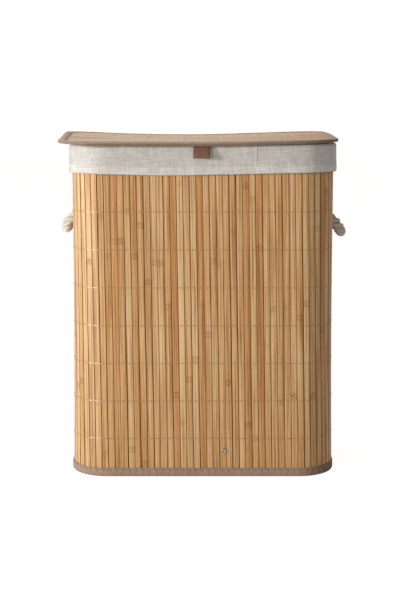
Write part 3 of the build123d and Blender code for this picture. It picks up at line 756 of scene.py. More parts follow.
def wall_thread_tree():
    """Rows of thread round the wall, doubled on a stretch of the front."""
    tree, size = new_tree("wall_threads", floats=(
        "Width", "Depth", "Corner Radius", "Dip", "Thread Radius", "First Height", "Spacing", "Doubled From",
        "Doubled To"), ints=("Slat Count", "Rows"))
    count = add_node(tree, "ShaderNodeMath", {0: size["Slat Count"], 1: POINTS_PER_SLAT},
                     operation="MULTIPLY")
    fine = add_node(tree, "GeometryNodeResampleCurve",
                    {"Curve": rounded_outline(tree, size), "Count": count})
    deep = gap_depth(tree, on_slat=1.0)
    sunk = add_node(tree, "ShaderNodeMath", {0: deep, 1: size["Dip"]}, operation="MULTIPLY")
    tangent = add_node(tree, "GeometryNodeInputTangent")
    inward = add_node(tree, "ShaderNodeVectorMath", {0: UP, 1: tangent}, operation="CROSS_PRODUCT")
    inward = add_node(tree, "ShaderNodeVectorMath", {0: inward, "Scale": sunk}, operation="SCALE")
    dipping = add_node(tree, "GeometryNodeSetPosition", {"Geometry": fine, "Offset": inward})
    place = add_node(tree, "GeometryNodeInputPosition")
    axes = add_node(tree, "ShaderNodeSeparateXYZ", {0: place})
    x, y = axes.outputs["X"], axes.outputs["Y"]
    doubled = add_node(tree, "ShaderNodeMath", {0: x, 1: size["Doubled From"]}, operation="GREATER_THAN")
    for axis, limit in ((x, size["Doubled To"]), (y, 0.0)):
        below = add_node(tree, "ShaderNodeMath", {0: axis, 1: limit}, operation="LESS_THAN")
        doubled = add_node(tree, "ShaderNodeMath", {0: doubled, 1: below}, operation="MULTIPLY")
    uneven = add_node(tree, "ShaderNodeTexNoise", {"Vector": place, "Scale": FUZZ_SCALE})
    tone = add_node(tree, "ShaderNodeMath", {0: uneven, 1: FUZZ_TONE}, operation="MULTIPLY")
    tone = add_node(tree, "ShaderNodeMath", {0: deep, 1: GAP_PAINTED_LIGHT, 2: tone}, operation="MULTIPLY_ADD")
    # The doubled stretch is painted whitest, as a highlight.
    tone = add_node(tree, "ShaderNodeMath", {0: tone, 1: doubled}, operation="MAXIMUM")
    thickness = add_node(tree, "ShaderNodeMapRange", {0: doubled, 1: 0.0, 2: 1.0, 3: 1.0, 4: DOUBLED_SCALE})
    first = add_node(tree, "ShaderNodeCombineXYZ", {"Z": size["First Height"]})
    step = add_node(tree, "ShaderNodeCombineXYZ", {"Z": size["Spacing"]})
    rows = thread_rows(tree, size, dipping, tone, first, step, {"Scale": thickness})
    real = add_node(tree, "GeometryNodeRealizeInstances", {0: rows})
    sway = add_node(tree, "ShaderNodeTexNoise", {"Vector": place, "Scale": SWAY_SCALE})
    sway = add_node(tree, "ShaderNodeMapRange", {0: sway, 1: 0.0, 2: 1.0, 3: -THREAD_SWAY, 4: THREAD_SWAY})
    sway = add_node(tree, "ShaderNodeCombineXYZ", {"Z": sway})
    swaying = add_node(tree, "GeometryNodeSetPosition", {"Geometry": real, "Offset": sway})
    return end_tree(tree, swaying, size["Material"])


wall_threads = grow("wall_threads", wall_thread_tree(), {
    "Width": 2 * (WALL_X + THREAD_LIFT), "Depth": 2 * (WALL_Y + THREAD_LIFT),
    "Corner Radius": CORNER_RADIUS + THREAD_LIFT, "Slat Count": BODY_SLATS, "Dip": 1.5 * MM,
    "Thread Radius": THREAD_RADIUS, "First Height": THREAD_FIRST_HEIGHT, "Spacing": THREAD_SPACING,
    "Rows": THREAD_ROWS, "Doubled From": -173 * MM, "Doubled To": -153 * MM, "Material": cotton_thread})
shape_wall(wall_threads, SLAT_LEAN)
finish_piece(wall_threads, "basket", "cotton_thread", "weaving_threads")

# %% [markdown]
# ## Bands that follow the wall or the lid
# Bindings, cuff and liner all run round a rounded rectangle. A plan is that rectangle, and a band is a
# section of (offset, height) points carried round it. The distance along the plan starts at the middle of
# the rear and goes left, front, right. UV coordinates are metres along the band and metres along the section.


# %% Plans
def plan_of(half_x, half_y, radius, centre=(0.0, 0.0)):
    """Rounded rectangle, as knots of distance, direction and core point between which all is linear."""
    straight_x, straight_y, quarter = half_x - radius, half_y - radius, radius * math.pi / 2
    runs = [straight_x, quarter, 2 * straight_y, quarter, 2 * straight_x, quarter, 2 * straight_y, quarter,
            straight_x]
    return {
        "radius": radius,
        "knots": np.concatenate([[0.0], np.cumsum(runs)]),
        "turn": math.pi / 2 * np.array([1, 1, 2, 2, 3, 3, 4, 4, 5, 5]),
        "core_x": centre[0] + straight_x * np.array([0, -1, -1, -1, -1, 1, 1, 1, 1, 0]),
        "core_y": centre[1] + straight_y * np.array([1, 1, 1, -1, -1, -1, -1, 1, 1, 1]),
    }


def carry(plan, distance, offset, height):
    """Points at a distance along the plan, an offset outwards from it, and a height. Arrays are broadcast."""
    distance, offset, height = np.broadcast_arrays(distance, offset, height)
    along = np.mod(distance, plan["knots"][-1])
    turn = np.interp(along, plan["knots"], plan["turn"])
    reach = plan["radius"] + offset
    x = np.interp(along, plan["knots"], plan["core_x"]) + reach * np.cos(turn)
    y = np.interp(along, plan["knots"], plan["core_y"]) + reach * np.sin(turn)
    return np.stack([x, y, height], axis=-1)


WALL_PLAN = plan_of(WALL_X, WALL_Y, CORNER_RADIUS)
WALL_LENGTH = WALL_PLAN["knots"][-1]
print("wall plan", round(WALL_LENGTH, 4), "m round")


# %% Grids
def grid_of(x, y, z):
    """Points of a grid from coordinates that are broadcast: columns run along the last axis."""
    return np.stack(np.broadcast_arrays(x, y, z), axis=-1)


def sheet_uv(across, along):
    """UV of a grid in metres: across changes from column to column, along from row to row."""
    return np.stack(np.broadcast_arrays(across[None, :], along[:, None]), axis=-1)


def grid_piece(name, points, uv, material, wrap_rows=False, wrap_columns=False):
    """Mesh from a grid of points. uv has one more row or column where the grid wraps."""
    rows, columns = points.shape[:2]
    row = np.arange(rows if wrap_rows else rows - 1)[:, None]
    column = np.arange(columns if wrap_columns else columns - 1)[None, :]
    corners = [(row, column), (row, column + 1), (row + 1, column + 1), (row + 1, column)]
    faces = np.stack([(r % rows) * columns + c % columns for r, c in corners], axis=-1).reshape(-1, 4)
    places = np.stack([(r * uv.shape[1] + c) + 0 * (row + column) for r, c in corners], axis=-1).reshape(-1)
    mesh = bpy.data.meshes.new(name)
    mesh.from_pydata(points.reshape(-1, 3).tolist(), [], faces.tolist())
    layer = mesh.uv_layers.new(name="cloth")
    layer.data.foreach_set("uv", uv.reshape(-1, 2)[places].astype(np.float32).ravel())
    mesh.polygons.foreach_set("use_smooth", [True] * len(mesh.polygons))
    mesh.materials.append(material)
    piece = bpy.data.objects.new(name, mesh)
    scene.collection.objects.link(piece)
    return piece


def running_length(points):
    """Distance run along a list of points, starting at zero."""
    steps = np.linalg.norm(np.diff(points, axis=0), axis=1)
    return np.concatenate([[0.0], np.cumsum(steps)])


def closed_band(name, plan, section, material, step=3 * MM, ripple=None):
    """Closed section carried all the way round a plan. Ripple adds (offset, height) moves by distance."""
    section = np.array(section)
    total = plan["knots"][-1]
    count = int(round(total / step))
    distance = np.arange(count) * total / count
    offset = np.repeat(section[:, :1], count, axis=1)
    height = np.repeat(section[:, 1:], count, axis=1)
    if ripple:
        more_offset, more_height = ripple(distance[None, :], offset, height)
        offset, height = offset + more_offset, height + more_height
    uv = sheet_uv(np.append(distance, total), running_length(np.concatenate([section, section[:1]])))
    points = carry(plan, distance[None, :], offset, height)
    return grid_piece(name, points, uv, material, wrap_rows=True, wrap_columns=True)


def soft_noise(x, y, seed):
    """Smooth noise from -1 to 1 at each pair of coordinates."""
    x, y = np.broadcast_arrays(x, y)
    flat = [noise.noise(Vector((a, b, seed))) for a, b in zip(x.ravel(), y.ravel())]
    return np.array(flat).reshape(x.shape)


def shade_cloth(piece, values):
    """Store how much lighter or darker a grid looks. Values are rows, one wide or as wide as the grid."""
    layer = piece.data.attributes.new("cloth_shade", "FLOAT", "POINT")
    wide = np.broadcast_to(values, (len(values), len(piece.data.vertices) // len(values)))
    layer.data.foreach_set("value", wide.astype(np.float32).ravel())


# %% [markdown]
# ## Bottom binding
# A strip of taupe canvas is folded over the lower edge of the wall and sewn through. Cloth that is sewn round
# a slat wall puckers a little between stitches, so the outer leaf swells and its upper edge waves. Its upper
# half is pressed against the slats, with painted shade as darker lines over the gaps between them, and its
# lower half is a soft fold. Towards its right end the strip is painted darker, as shade.

# %% Bottom binding
BINDING_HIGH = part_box("bottom_binding")[1]
BINDING_TOP = BINDING_HIGH.z
BINDING_OUT = BINDING_HIGH.x - WALL_X
BINDING_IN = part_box("base_board")[1].x - WALL_X
WALL_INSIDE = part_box("rim_hoop")[1].x - WALL_X


def slat_wave(distance):
    """1 on the slats, falling to -1 in the narrow gaps between them."""
    phase = np.cos(np.pi * BODY_SLATS * distance / WALL_LENGTH) ** 2
    return 1 - 2 * phase ** 4


PRESS_DEPTH, SWELL_DEPTH, FOLD_DEPTH, EDGE_WAVE = 0.3 * MM, 0.4 * MM, 0.5 * MM, 0.55 * MM
FOLD_HEIGHT, FOLD_WIDTH = 4 * MM, 2.6 * MM


def pucker(distance, offset, height):
    """Swell of the outer leaf and wave of its free edge."""
    outer = np.clip(offset / BINDING_OUT, 0, 1)
    free = np.clip(height / BINDING_TOP, 0, 1)
    over_slats = PRESS_DEPTH * free * slat_wave(distance)
    swell = over_slats + SWELL_DEPTH * soft_noise(distance * 55, height * 60, 3.0)
    fold = FOLD_DEPTH * np.exp(-((height - FOLD_HEIGHT) / FOLD_WIDTH) ** 2)
    wave = EDGE_WAVE * soft_noise(distance * 40, 0, 7.0)
    return outer * (swell + fold), outer * free ** 2 * wave


binding_section = [
    (0.15 * MM, BINDING_TOP - 0.5 * MM), (0.1 * MM, 9 * MM), (0.05 * MM, 3 * MM), (-0.4 * MM, 1.2 * MM),
    (WALL_INSIDE + 0.3 * MM, 1.2 * MM), (WALL_INSIDE, 3 * MM), (WALL_INSIDE, BINDING_TOP - 0.5 * MM),
    (WALL_INSIDE - 0.5 * MM, BINDING_TOP), (BINDING_IN, BINDING_TOP - 0.5 * MM), (BINDING_IN, 1.2 * MM),
    (BINDING_IN + 0.4 * MM, 0.3 * MM), (WALL_INSIDE, 0.0), (-0.6 * MM, 0.0), (0.5 * MM, 0.25 * MM),
    (BINDING_OUT - 0.15 * MM, 0.9 * MM), (BINDING_OUT, 2.4 * MM), (BINDING_OUT, 5 * MM),
    (BINDING_OUT, 8 * MM), (BINDING_OUT, 10.6 * MM), (BINDING_OUT - 0.1 * MM, BINDING_TOP - 0.7 * MM),
    (0.6 * MM, BINDING_TOP),
]
bottom_binding = closed_band("bottom_binding_cloth", WALL_PLAN, binding_section, taupe_canvas, 1.8 * MM,
                             pucker)
binding_heights = np.array(binding_section)[:, 1:]
binding_columns = len(bottom_binding.data.vertices) // len(binding_section)
binding_run = np.linspace(0, WALL_LENGTH, binding_columns, endpoint=False)
# Cloth pressed on the slats is a little paler, with painted shade over the gaps; the right end has painted
# shade.
PRESSED_OVER, RIGHT_SHADE_FROM, RIGHT_SHADE_OVER = 5 * MM, 140 * MM, 45 * MM
BINDING_TONE, PRESSED_PALER, GAP_LINE_SHADE, RIGHT_END_SHADE = 0.02, 0.1, 0.26, 0.34
pressed = np.clip((binding_heights - FOLD_HEIGHT) / PRESSED_OVER, 0, 1)
# Painted shade over the gaps between the slats.
lines = 0.5 - 0.5 * slat_wave(binding_run[None, :])
binding_x = carry(WALL_PLAN, binding_run, 0 * binding_run, 0 * binding_run)[:, 0]
# Painted shade on the right end of the strip.
shaded_right_end = np.clip((binding_x[None, :] - RIGHT_SHADE_FROM) / RIGHT_SHADE_OVER, 0, 1)
tone = BINDING_TONE + pressed * (PRESSED_PALER - GAP_LINE_SHADE * lines) - RIGHT_END_SHADE * shaded_right_end
shade_cloth(bottom_binding, tone)
finish_piece(bottom_binding, "basket", "taupe_cloth", "bottom_binding")
print("bottom binding", len(bottom_binding.data.polygons), "faces")

# %% [markdown]
# ## Hidden cloth: backing, top binding and base
# Behind the slats is a glued cloth, drawn brown as painted shade where it shows in the gaps between the
# slats. At the rim a strip is folded over the wall and over the wire, and it shows only where the cuff has
# its break at the rear. Below the base board is a last cloth, seen when the hamper is tipped over.

# %% Backing and top binding
levels = np.linspace(WALL_BOTTOM + 1 * MM, WALL_TOP - 1 * MM, 13)
backing_section = [(-SLAT_THICKNESS, height) for height in levels]
backing_section += [(WALL_INSIDE, height) for height in reversed(levels)]
wall_backing = closed_band("wall_backing_cloth", WALL_PLAN, backing_section, backing_cloth, step=9 * MM)
shape_wall(wall_backing)
finish_piece(wall_backing, "basket", "backing_cloth", "wall_backing")

RIM_LOW, RIM_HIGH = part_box("top_binding")
RIM_OUT = RIM_HIGH.x - WALL_X
RIM_IN = -8.4 * MM
CLOTH = 0.8 * MM


def rim_ripple(distance, offset, height):
    """Slight waves of the rim binding where it is sewn."""
    low = np.clip((RIM_HIGH.z - height) / (RIM_HIGH.z - RIM_LOW.z), 0, 1)
    wave = 0.3 * MM * soft_noise(distance * 60, 0, 11.0)
    return 0 * height, low * wave


rim_section = [
    (0.0, RIM_LOW.z), (0.0, WALL_TOP - 0.6 * MM), (-1.5 * MM, WALL_TOP), (RIM_IN + 2 * CLOTH, WALL_TOP),
    (RIM_IN + CLOTH, WALL_TOP - 2 * MM), (RIM_IN + CLOTH, RIM_LOW.z), (RIM_IN, RIM_LOW.z),
    (RIM_IN, WALL_TOP - 1.6 * MM), (RIM_IN + 1.2 * MM, RIM_HIGH.z - 0.3 * MM), (-4 * MM, RIM_HIGH.z),
    (-0.6 * MM, RIM_HIGH.z), (RIM_OUT - 0.2 * MM, RIM_HIGH.z - 0.6 * MM), (RIM_OUT, WALL_TOP - 2 * MM),
    (RIM_OUT, WALL_TOP - 12 * MM), (RIM_OUT, RIM_LOW.z),
]
top_binding = closed_band("top_binding_cloth", WALL_PLAN, rim_section, taupe_canvas, ripple=rim_ripple)
finish_piece(top_binding, "basket", "taupe_cloth", "top_binding")
print("backing and top binding", len(wall_backing.data.polygons), len(top_binding.data.polygons), "faces")

# %% Base cloth
PANEL_COLUMNS = 96
PANEL_SHARES = np.array([0.02, 0.2, 0.4, 0.6, 0.8, 0.93, 1.0])


def filled_panel(name, plan, offset, bottom, top, material):
    """Flat cloth panel: rings that shrink to the middle, on both faces, with a rounded edge between them."""
    distance = np.arange(PANEL_COLUMNS) * plan["knots"][-1] / PANEL_COLUMNS
    middle = np.array([plan["core_x"][0], (plan["core_y"][1] + plan["core_y"][4]) / 2, 0.0])
    edge = carry(plan, distance, offset, 0.0) - middle
    layers = [(share, bottom) for share in PANEL_SHARES] + [(share, top) for share in PANEL_SHARES[::-1]]
    rings = [middle + edge * [share, share, 1.0] + [0, 0, height] for share, height in layers]
    points = np.stack(rings)
    wrapped = np.concatenate([points, points[:, :1]], axis=1)
    piece = grid_piece(name, points, wrapped[:, :, :2], material, wrap_columns=True)
    close_ring(piece, 0, PANEL_COLUMNS, turned=True)
    close_ring(piece, len(layers) - 1, PANEL_COLUMNS)
    return piece


def close_ring(piece, ring, count, turned=False):
    """Fill one ring of a grid whose columns wrap. The face looks up, or down where it is turned."""
    work = bmesh.new()
    work.from_mesh(piece.data)
    work.verts.ensure_lookup_table()
    uv_layer = work.loops.layers.uv.active
    loop = [work.verts[ring * count + index] for index in range(count)]
    face = work.faces.new(loop[::-1] if turned else loop)
    face.smooth = True
    for corner in face.loops:
        corner[uv_layer].uv = corner.vert.co.xy
    work.to_mesh(piece.data)
    work.free()


BASE_LOW, BASE_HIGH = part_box("base_cloth")
base_cloth = filled_panel("base_cloth_panel", WALL_PLAN, BINDING_IN, BASE_LOW.z, BASE_HIGH.z, taupe_canvas)
finish_piece(base_cloth, "basket", "taupe_cloth", "base_cloth")
print("base cloth", len(base_cloth.data.polygons), "faces")

# %% [markdown]
# ## Liner cuff
# The top of the linen liner is folded out over the rim and hangs as a cuff, with a sewn hem and one upright
# seam. It is a grid of points: up the outer leaf, over the rim and down the inner leaf. Small functions add
# what the photograph shows: slack waves, puckers at the hem stitches, three creases, the seam, and a sag
# left of the middle. Shade makes the hem paler where it is doubled, paints a shadow on the turned-under
# edge, a highlight and a shadow line at the seam, and light on the right end. Solidify then gives the
# cloth its thickness.

# %% Cuff shape
CUFF_LOW, CUFF_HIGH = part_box("liner_cuff")
CUFF_OUTER = 3.2 * MM
CUFF_INNER = -9.8 * MM
CUFF_CLOTH = 1.0 * MM
CUFF_BOTTOM, CUFF_TOP = CUFF_LOW.z + 0.3 * MM, CUFF_HIGH.z - 0.5 * MM
CUFF_INSIDE_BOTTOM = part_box("liner_bag")[1].z
HEM_HEIGHT = CUFF_BOTTOM + 10.4 * MM
CUFF_BREAK = 146 * MM
FRONT_MIDDLE = WALL_LENGTH / 2
SEAM_X = 79 * MM
# Each crease has its start and end as (x, height), its width and its depth.
CREASES = [((14 * MM, 0.497), (34 * MM, 0.474), 4 * MM, 0.5 * MM),
           ((-66 * MM, 0.466), (-32 * MM, 0.480), 3.5 * MM, 0.9 * MM),
           ((100 * MM, 0.496), (128 * MM, 0.470), 5 * MM, 0.7 * MM)]


def crease(x, height, start, end, width, depth):
    """Soft valley with a ridge beside it, along a line on the front of the cuff."""
    run = np.array(end) - np.array(start)
    length = np.hypot(*run)
    along = ((x - start[0]) * run[0] + (height - start[1]) * run[1]) / length
    aside = ((x - start[0]) * run[1] - (height - start[1]) * run[0]) / length
    fade = np.exp(-(np.clip(-along, 0, None) ** 2 + np.clip(along - length, 0, None) ** 2) / width ** 2)
    return depth * fade * (np.exp(-((aside + width) / width) ** 2) - np.exp(-(aside / width) ** 2))


CUFF_EASE = 0.4 * MM
SLACK_WAVE, SLACK_RIPPLE, PUCKER_DEPTH = 0.75 * MM, 0.3 * MM, 0.32 * MM
HEM_DEPTH, GROOVE_DEPTH, SEAM_DEPTH = 0.5 * MM, 0.35 * MM, 0.35 * MM


def cuff_slack(distance, height):
    """How far the outer leaf stands out from its flat place."""
    x = distance - FRONT_MIDDLE
    drop = np.clip((CUFF_TOP - height) / (CUFF_TOP - CUFF_BOTTOM), 0, 1)
    waves = SLACK_WAVE * soft_noise(distance * 11, height * 16, 1.5) * (0.3 + drop)
    waves = waves + SLACK_RIPPLE * soft_noise(distance * 38, height * 60, 2.5)
    near_hem = np.exp(-((height - HEM_HEIGHT) / (5 * MM)) ** 2)
    puckers = PUCKER_DEPTH * near_hem * soft_noise(distance * 150, height * 25, 4.5)
    hem = HEM_DEPTH / (1 + np.exp((height - HEM_HEIGHT) / (0.35 * MM)))
    groove = -GROOVE_DEPTH * np.exp(-((height - HEM_HEIGHT) / (0.8 * MM)) ** 2)
    above_hem = np.clip((height - HEM_HEIGHT) / (3 * MM), 0, 1)
    seam = SEAM_DEPTH * np.exp(-((x - SEAM_X) / (1.2 * MM)) ** 2)
    folds = sum(crease(x, height, *values) for values in CREASES)
    return CUFF_EASE + waves + puckers + hem + groove + seam * above_hem + folds


def cuff_offset(distance, offset, height):
    """Slack counts fully on the outer leaf and fades out over the rim."""
    share = np.clip((offset - CUFF_INNER) / (CUFF_OUTER - CUFF_INNER), 0, 1) ** 2
    rim = np.clip((CUFF_TOP - height) / (4 * MM), 0, 1)
    return offset + share * (0.3 + 0.7 * rim) * cuff_slack(distance, height)


CUFF_LOWER, CUFF_WAVE = 0.5 * MM, 0.4 * MM
SAG_DEPTH, SAG_X, SAG_WIDTH = 3.0 * MM, -45 * MM, 110 * MM
HITCH_RISE, HITCH_X, HITCH_WIDTH = 2.0 * MM, 195 * MM, 80 * MM


def cuff_shift(distance, offset, height):
    """How far the cuff moves up or down: it sags left of the middle and is hitched up at the right corner."""
    x = distance - FRONT_MIDDLE
    outer = np.clip((offset - CUFF_INNER) / (CUFF_OUTER - CUFF_INNER), 0, 1)
    drop = np.clip((CUFF_TOP - height) / (CUFF_TOP - CUFF_BOTTOM), 0, 1)
    sag = CUFF_LOWER + SAG_DEPTH * np.exp(-((x - SAG_X) / SAG_WIDTH) ** 2)
    hitch = HITCH_RISE * np.exp(-((x - HITCH_X) / HITCH_WIDTH) ** 2)
    wave = CUFF_WAVE * soft_noise(distance * 13, 0, 6.5)
    return outer * (drop * (wave - sag) + (1 - 0.5 * drop) * hitch)


print("cuff from", round(CUFF_BOTTOM, 4), "to", round(CUFF_TOP, 4), "m, creases", len(CREASES))

# %% Cuff section
FOLD_RADIUS = 3.2 * MM
leaf_heights = np.concatenate([CUFF_BOTTOM + np.array([0, 0.6, 1.0, 2.5, 5, 7.5, 9.2]) * MM,
                               HEM_HEIGHT + np.array([-0.6, 0, 0.6, 1.6, 4, 8, 12, 16, 20, 24]) * MM])
fold = np.radians(np.array([0, 30, 60, 90]))
fold_in, fold_down = FOLD_RADIUS * (1 - np.cos(fold)), FOLD_RADIUS * (1 - np.sin(fold))
cuff_section = [(CUFF_OUTER, height) for height in leaf_heights]
cuff_section += zip(CUFF_OUTER - fold_in, CUFF_TOP - fold_down)
cuff_section += zip(CUFF_INNER + fold_in[::-1], CUFF_TOP - fold_down[::-1])
cuff_section += [(CUFF_INNER, CUFF_TOP - drop * MM) for drop in (7, 11)]
cuff_section += [(CUFF_INNER, CUFF_INSIDE_BOTTOM + 0.2 * MM)]
cuff_section = np.array(cuff_section)
section_offset, section_height = cuff_section[:, :1], cuff_section[:, 1:]
cuff_run = np.arange(CUFF_BREAK, WALL_LENGTH - CUFF_BREAK, 3 * MM)
seam_run = FRONT_MIDDLE + SEAM_X + np.arange(-3, 6, 0.6) * MM
cuff_run = np.unique(np.concatenate([cuff_run, seam_run, [WALL_LENGTH - CUFF_BREAK]]))
print("cuff grid", len(cuff_section), "x", len(cuff_run))


# %% Liner cuff
def thicken(piece, thickness):
    """Give a sheet its cloth thickness, half to each side, and keep the result as its mesh."""
    solidify = piece.modifiers.new("cloth thickness", "SOLIDIFY")
    solidify.thickness = thickness
    solidify.offset = 0.0
    mesh = plain_mesh(piece)
    piece.modifiers.clear()
    piece.data = mesh


cuff_offsets = cuff_offset(cuff_run[None, :], section_offset, section_height)
cuff_heights = section_height + cuff_shift(cuff_run[None, :], section_offset, section_height)
cuff_points = carry(WALL_PLAN, cuff_run[None, :], cuff_offsets, cuff_heights)
cuff_v = running_length(cuff_section)
liner_cuff = grid_piece("liner_cuff_cloth", cuff_points, sheet_uv(cuff_run, cuff_v), linen)

HEM_PALER, UNDER_EDGE_SHADOW, RIGHT_PAINTED_LIGHT = 0.13, 0.5, 0.2
SEAM_DOUBLED_AND_LIT, SEAM_SHADOW_LINE = 0.22, 0.3
on_outer_leaf = section_offset == CUFF_OUTER
in_hem = on_outer_leaf & (section_height < HEM_HEIGHT) & (cuff_run[None, :] > 0)
# Painted shadow on the turned-under edge, the shadow line below the hem.
turned_under = on_outer_leaf & (section_height < CUFF_BOTTOM + 0.8 * MM)
seam_away = cuff_run[None, :] - FRONT_MIDDLE - SEAM_X
# The seam is paler where the cloth is doubled and as a painted highlight, with a painted shadow line beside
# it.
seam_shade = SEAM_DOUBLED_AND_LIT * np.exp(-(seam_away / (0.8 * MM)) ** 2)
seam_shade = seam_shade - SEAM_SHADOW_LINE * ~in_hem * np.exp(-((seam_away - 1.6 * MM) / (0.7 * MM)) ** 2)
# Painted light on the right end of the cuff.
right_side = np.clip((cuff_run[None, :] - FRONT_MIDDLE - 165 * MM) / (40 * MM), 0, 1)
tone = HEM_PALER * in_hem + seam_shade - UNDER_EDGE_SHADOW * turned_under + RIGHT_PAINTED_LIGHT * right_side
shade_cloth(liner_cuff, tone)
thicken(liner_cuff, CUFF_CLOTH)
finish_piece(liner_cuff, "basket", "linen_cloth", "liner_cuff")
print("cuff", round(WALL_LENGTH - 2 * CUFF_BREAK, 4), "x", round(cuff_v[-1], 4))

# %% [markdown]
# ## Liner bag
# The bag hangs inside from the cuff, clear of the rope knots. It is a lofted shell: rings from the middle of
# the floor outwards, then up the sides. Slack cloth hangs in upright folds, which are deeper towards the
# floor, and it lies in soft ripples on the base.

# %% Liner bag
BAG_LOW, BAG_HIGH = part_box("liner_bag")
BAG_SIDE_INSET = 30.6 * MM
BAG_INSET = 9.8 * MM
BAG_RADIUS = 46 * MM
BAG_FLARE_HEIGHT = 0.410
BAG_COLUMNS = 260
BAG_CLOTH = 1.0 * MM
FLOOR_LIFT, FLOOR_RIPPLE = 0.7 * MM, 0.6 * MM
floor_shares = np.array([0.03, 0.2, 0.4, 0.6, 0.78, 0.9, 0.97])
side_heights = np.concatenate([[0.0098, 0.014, 0.022], np.linspace(0.04, BAG_FLARE_HEIGHT, 16),
                               np.linspace(0.43, BAG_HIGH.z + 2.5 * MM, 6)])
share_round = np.arange(BAG_COLUMNS) / BAG_COLUMNS


def bag_ring(height):
    """Ring of the bag at a height, with its folds."""
    flare = np.clip((height - BAG_FLARE_HEIGHT) / (BAG_HIGH.z - BAG_FLARE_HEIGHT), 0, 1)
    side = BAG_SIDE_INSET + flare * (BAG_INSET - BAG_SIDE_INSET)
    plan = plan_of(WALL_X - side, WALL_Y - BAG_INSET, BAG_RADIUS)
    distance = share_round * plan["knots"][-1]
    depth = (1 - flare) * (1.0 + 2.2 * (1 - height / BAG_HIGH.z)) * MM
    folds = 0.6 * soft_noise(distance * 17, height * 2.2, 8.0)
    folds = folds + 0.4 * soft_noise(distance * 43, height * 3.5, 9.0)
    under_rim = 0.9 * MM * flare
    return carry(plan, distance, depth * (folds - 0.75) - under_rim, height)


rim_of_floor = bag_ring(side_heights[0])
rings = []
for share in floor_shares:
    ring = rim_of_floor * [share, share, 1.0]
    ripple = FLOOR_RIPPLE * (1 + soft_noise(ring[:, 0] * 30, ring[:, 1] * 30, 10.0)) * (1 - share ** 4)
    ring[:, 2] = BAG_LOW.z + FLOOR_LIFT + ripple
    rings.append(ring)
rings += [bag_ring(height) for height in side_heights]
bag_points = np.stack(rings)
bag_v = np.concatenate([[0.0], np.cumsum(np.linalg.norm(np.diff(bag_points, axis=0), axis=2).mean(axis=1))])
bag_length = np.linalg.norm(np.diff(rim_of_floor, axis=0, append=rim_of_floor[:1]), axis=1).sum()
bag_uv = sheet_uv(np.append(share_round, 1.0) * bag_length, bag_v)
liner_bag = grid_piece("liner_bag_cloth", bag_points, bag_uv, linen, wrap_columns=True)
close_ring(liner_bag, 0, BAG_COLUMNS, turned=True)
thicken(liner_bag, BAG_CLOTH)
finish_piece(liner_bag, "basket", "linen_cloth", "liner_bag")
bag_area = sum(polygon.area for polygon in liner_bag.data.polygons) / 2
print("bag", round(bag_length, 4), "m round, cloth", round(bag_area, 3), "m2")

# %% [markdown]
# ## Lid slats
# The lid's slats run from left to right. The tree lays one at each step from front to rear and shortens it
# where the lid's corners are rounded. The whole lid is slightly bowed, its ends higher than its middle and
# more so at the rear, and its front edge droops, less so towards the right. One function lifts every piece
# of the lid into that shape.

# %% Lid shape
LID_PLAN_LOW, LID_PLAN_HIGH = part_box("lid_backing")
LID_RADIUS = 56 * MM
LID_HALF_X = (LID_PLAN_HIGH.x - LID_PLAN_LOW.x) / 2
LID_HALF_Y = (LID_PLAN_HIGH.y - LID_PLAN_LOW.y) / 2
LID_X, LID_Y = (LID_PLAN_LOW.x + LID_PLAN_HIGH.x) / 2, (LID_PLAN_LOW.y + LID_PLAN_HIGH.y) / 2
LID_PLAN = plan_of(LID_HALF_X, LID_HALF_Y, LID_RADIUS, (LID_X, LID_Y))
LID_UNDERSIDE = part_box("lid_binding")[0].z
LID_CLOTH = 0.7 * MM
LID_TOP = LID_UNDERSIDE + 3 * LID_CLOTH + SLAT_THICKNESS
RISE_REACH = 0.221
# Rises of the front, the curl and the rear at the left end (-1) and at the right end (1).
END_RISE = {-1: (0.7 * MM, 6.5 * MM, 7.3 * MM), 1: (3.0 * MM, 1.5 * MM, 7.0 * MM)}
RISE_POWER = {-1: 2.6, 1: 1.2}
CURL_PLACE, CURL_WIDTH = 0.52, 0.22
FRONT_DROOP = 2.2 * MM
DROOP_START, DROOP_REACH = -WALL_Y + 1 * MM, 13 * MM
DROOP_FADE = (20 * MM, 190 * MM)


def ease_in(value, start, end):
    """0 before the start and 1 after the end, with a smooth change between them."""
    share = np.clip((value - start) / (end - start), 0, 1)
    return share ** 2 * (3 - 2 * share)


def lid_rise(x, y):
    """How far the lid stands above its flat shape. Each end has a front rise, a curl near its middle and a
    rear rise, and the front edge droops where it overhangs the cuff."""
    back = (y - LID_PLAN_LOW.y) / (2 * LID_HALF_Y)
    ease = ease_in(back, 0, 1)
    bump = np.exp(-((back - CURL_PLACE) / CURL_WIDTH) ** 2)
    rise = -FRONT_DROOP * ease_in(DROOP_START - y, 0, DROOP_REACH) * (1 - ease_in(x, *DROOP_FADE))
    for side, (front, curl, rear) in END_RISE.items():
        end = front + ease * (rear - front) + bump * curl
        rise = rise + end * np.clip(side * (x - LID_X) / RISE_REACH, 0, None) ** RISE_POWER[side]
    return rise


def bow_lid(piece):
    """Lift a flat piece of the lid into the bow."""
    points = points_of(piece)
    points[:, 2] += lid_rise(points[:, 0], points[:, 1])
    set_points(piece, points)


print("lid", 2 * LID_HALF_X, "x", 2 * LID_HALF_Y, "m, top at", LID_TOP)

# %% Lid slats
LID_SLATS = 32
LID_SLAT_HEIGHT = LID_UNDERSIDE + 2 * LID_CLOTH + SLAT_THICKNESS / 2


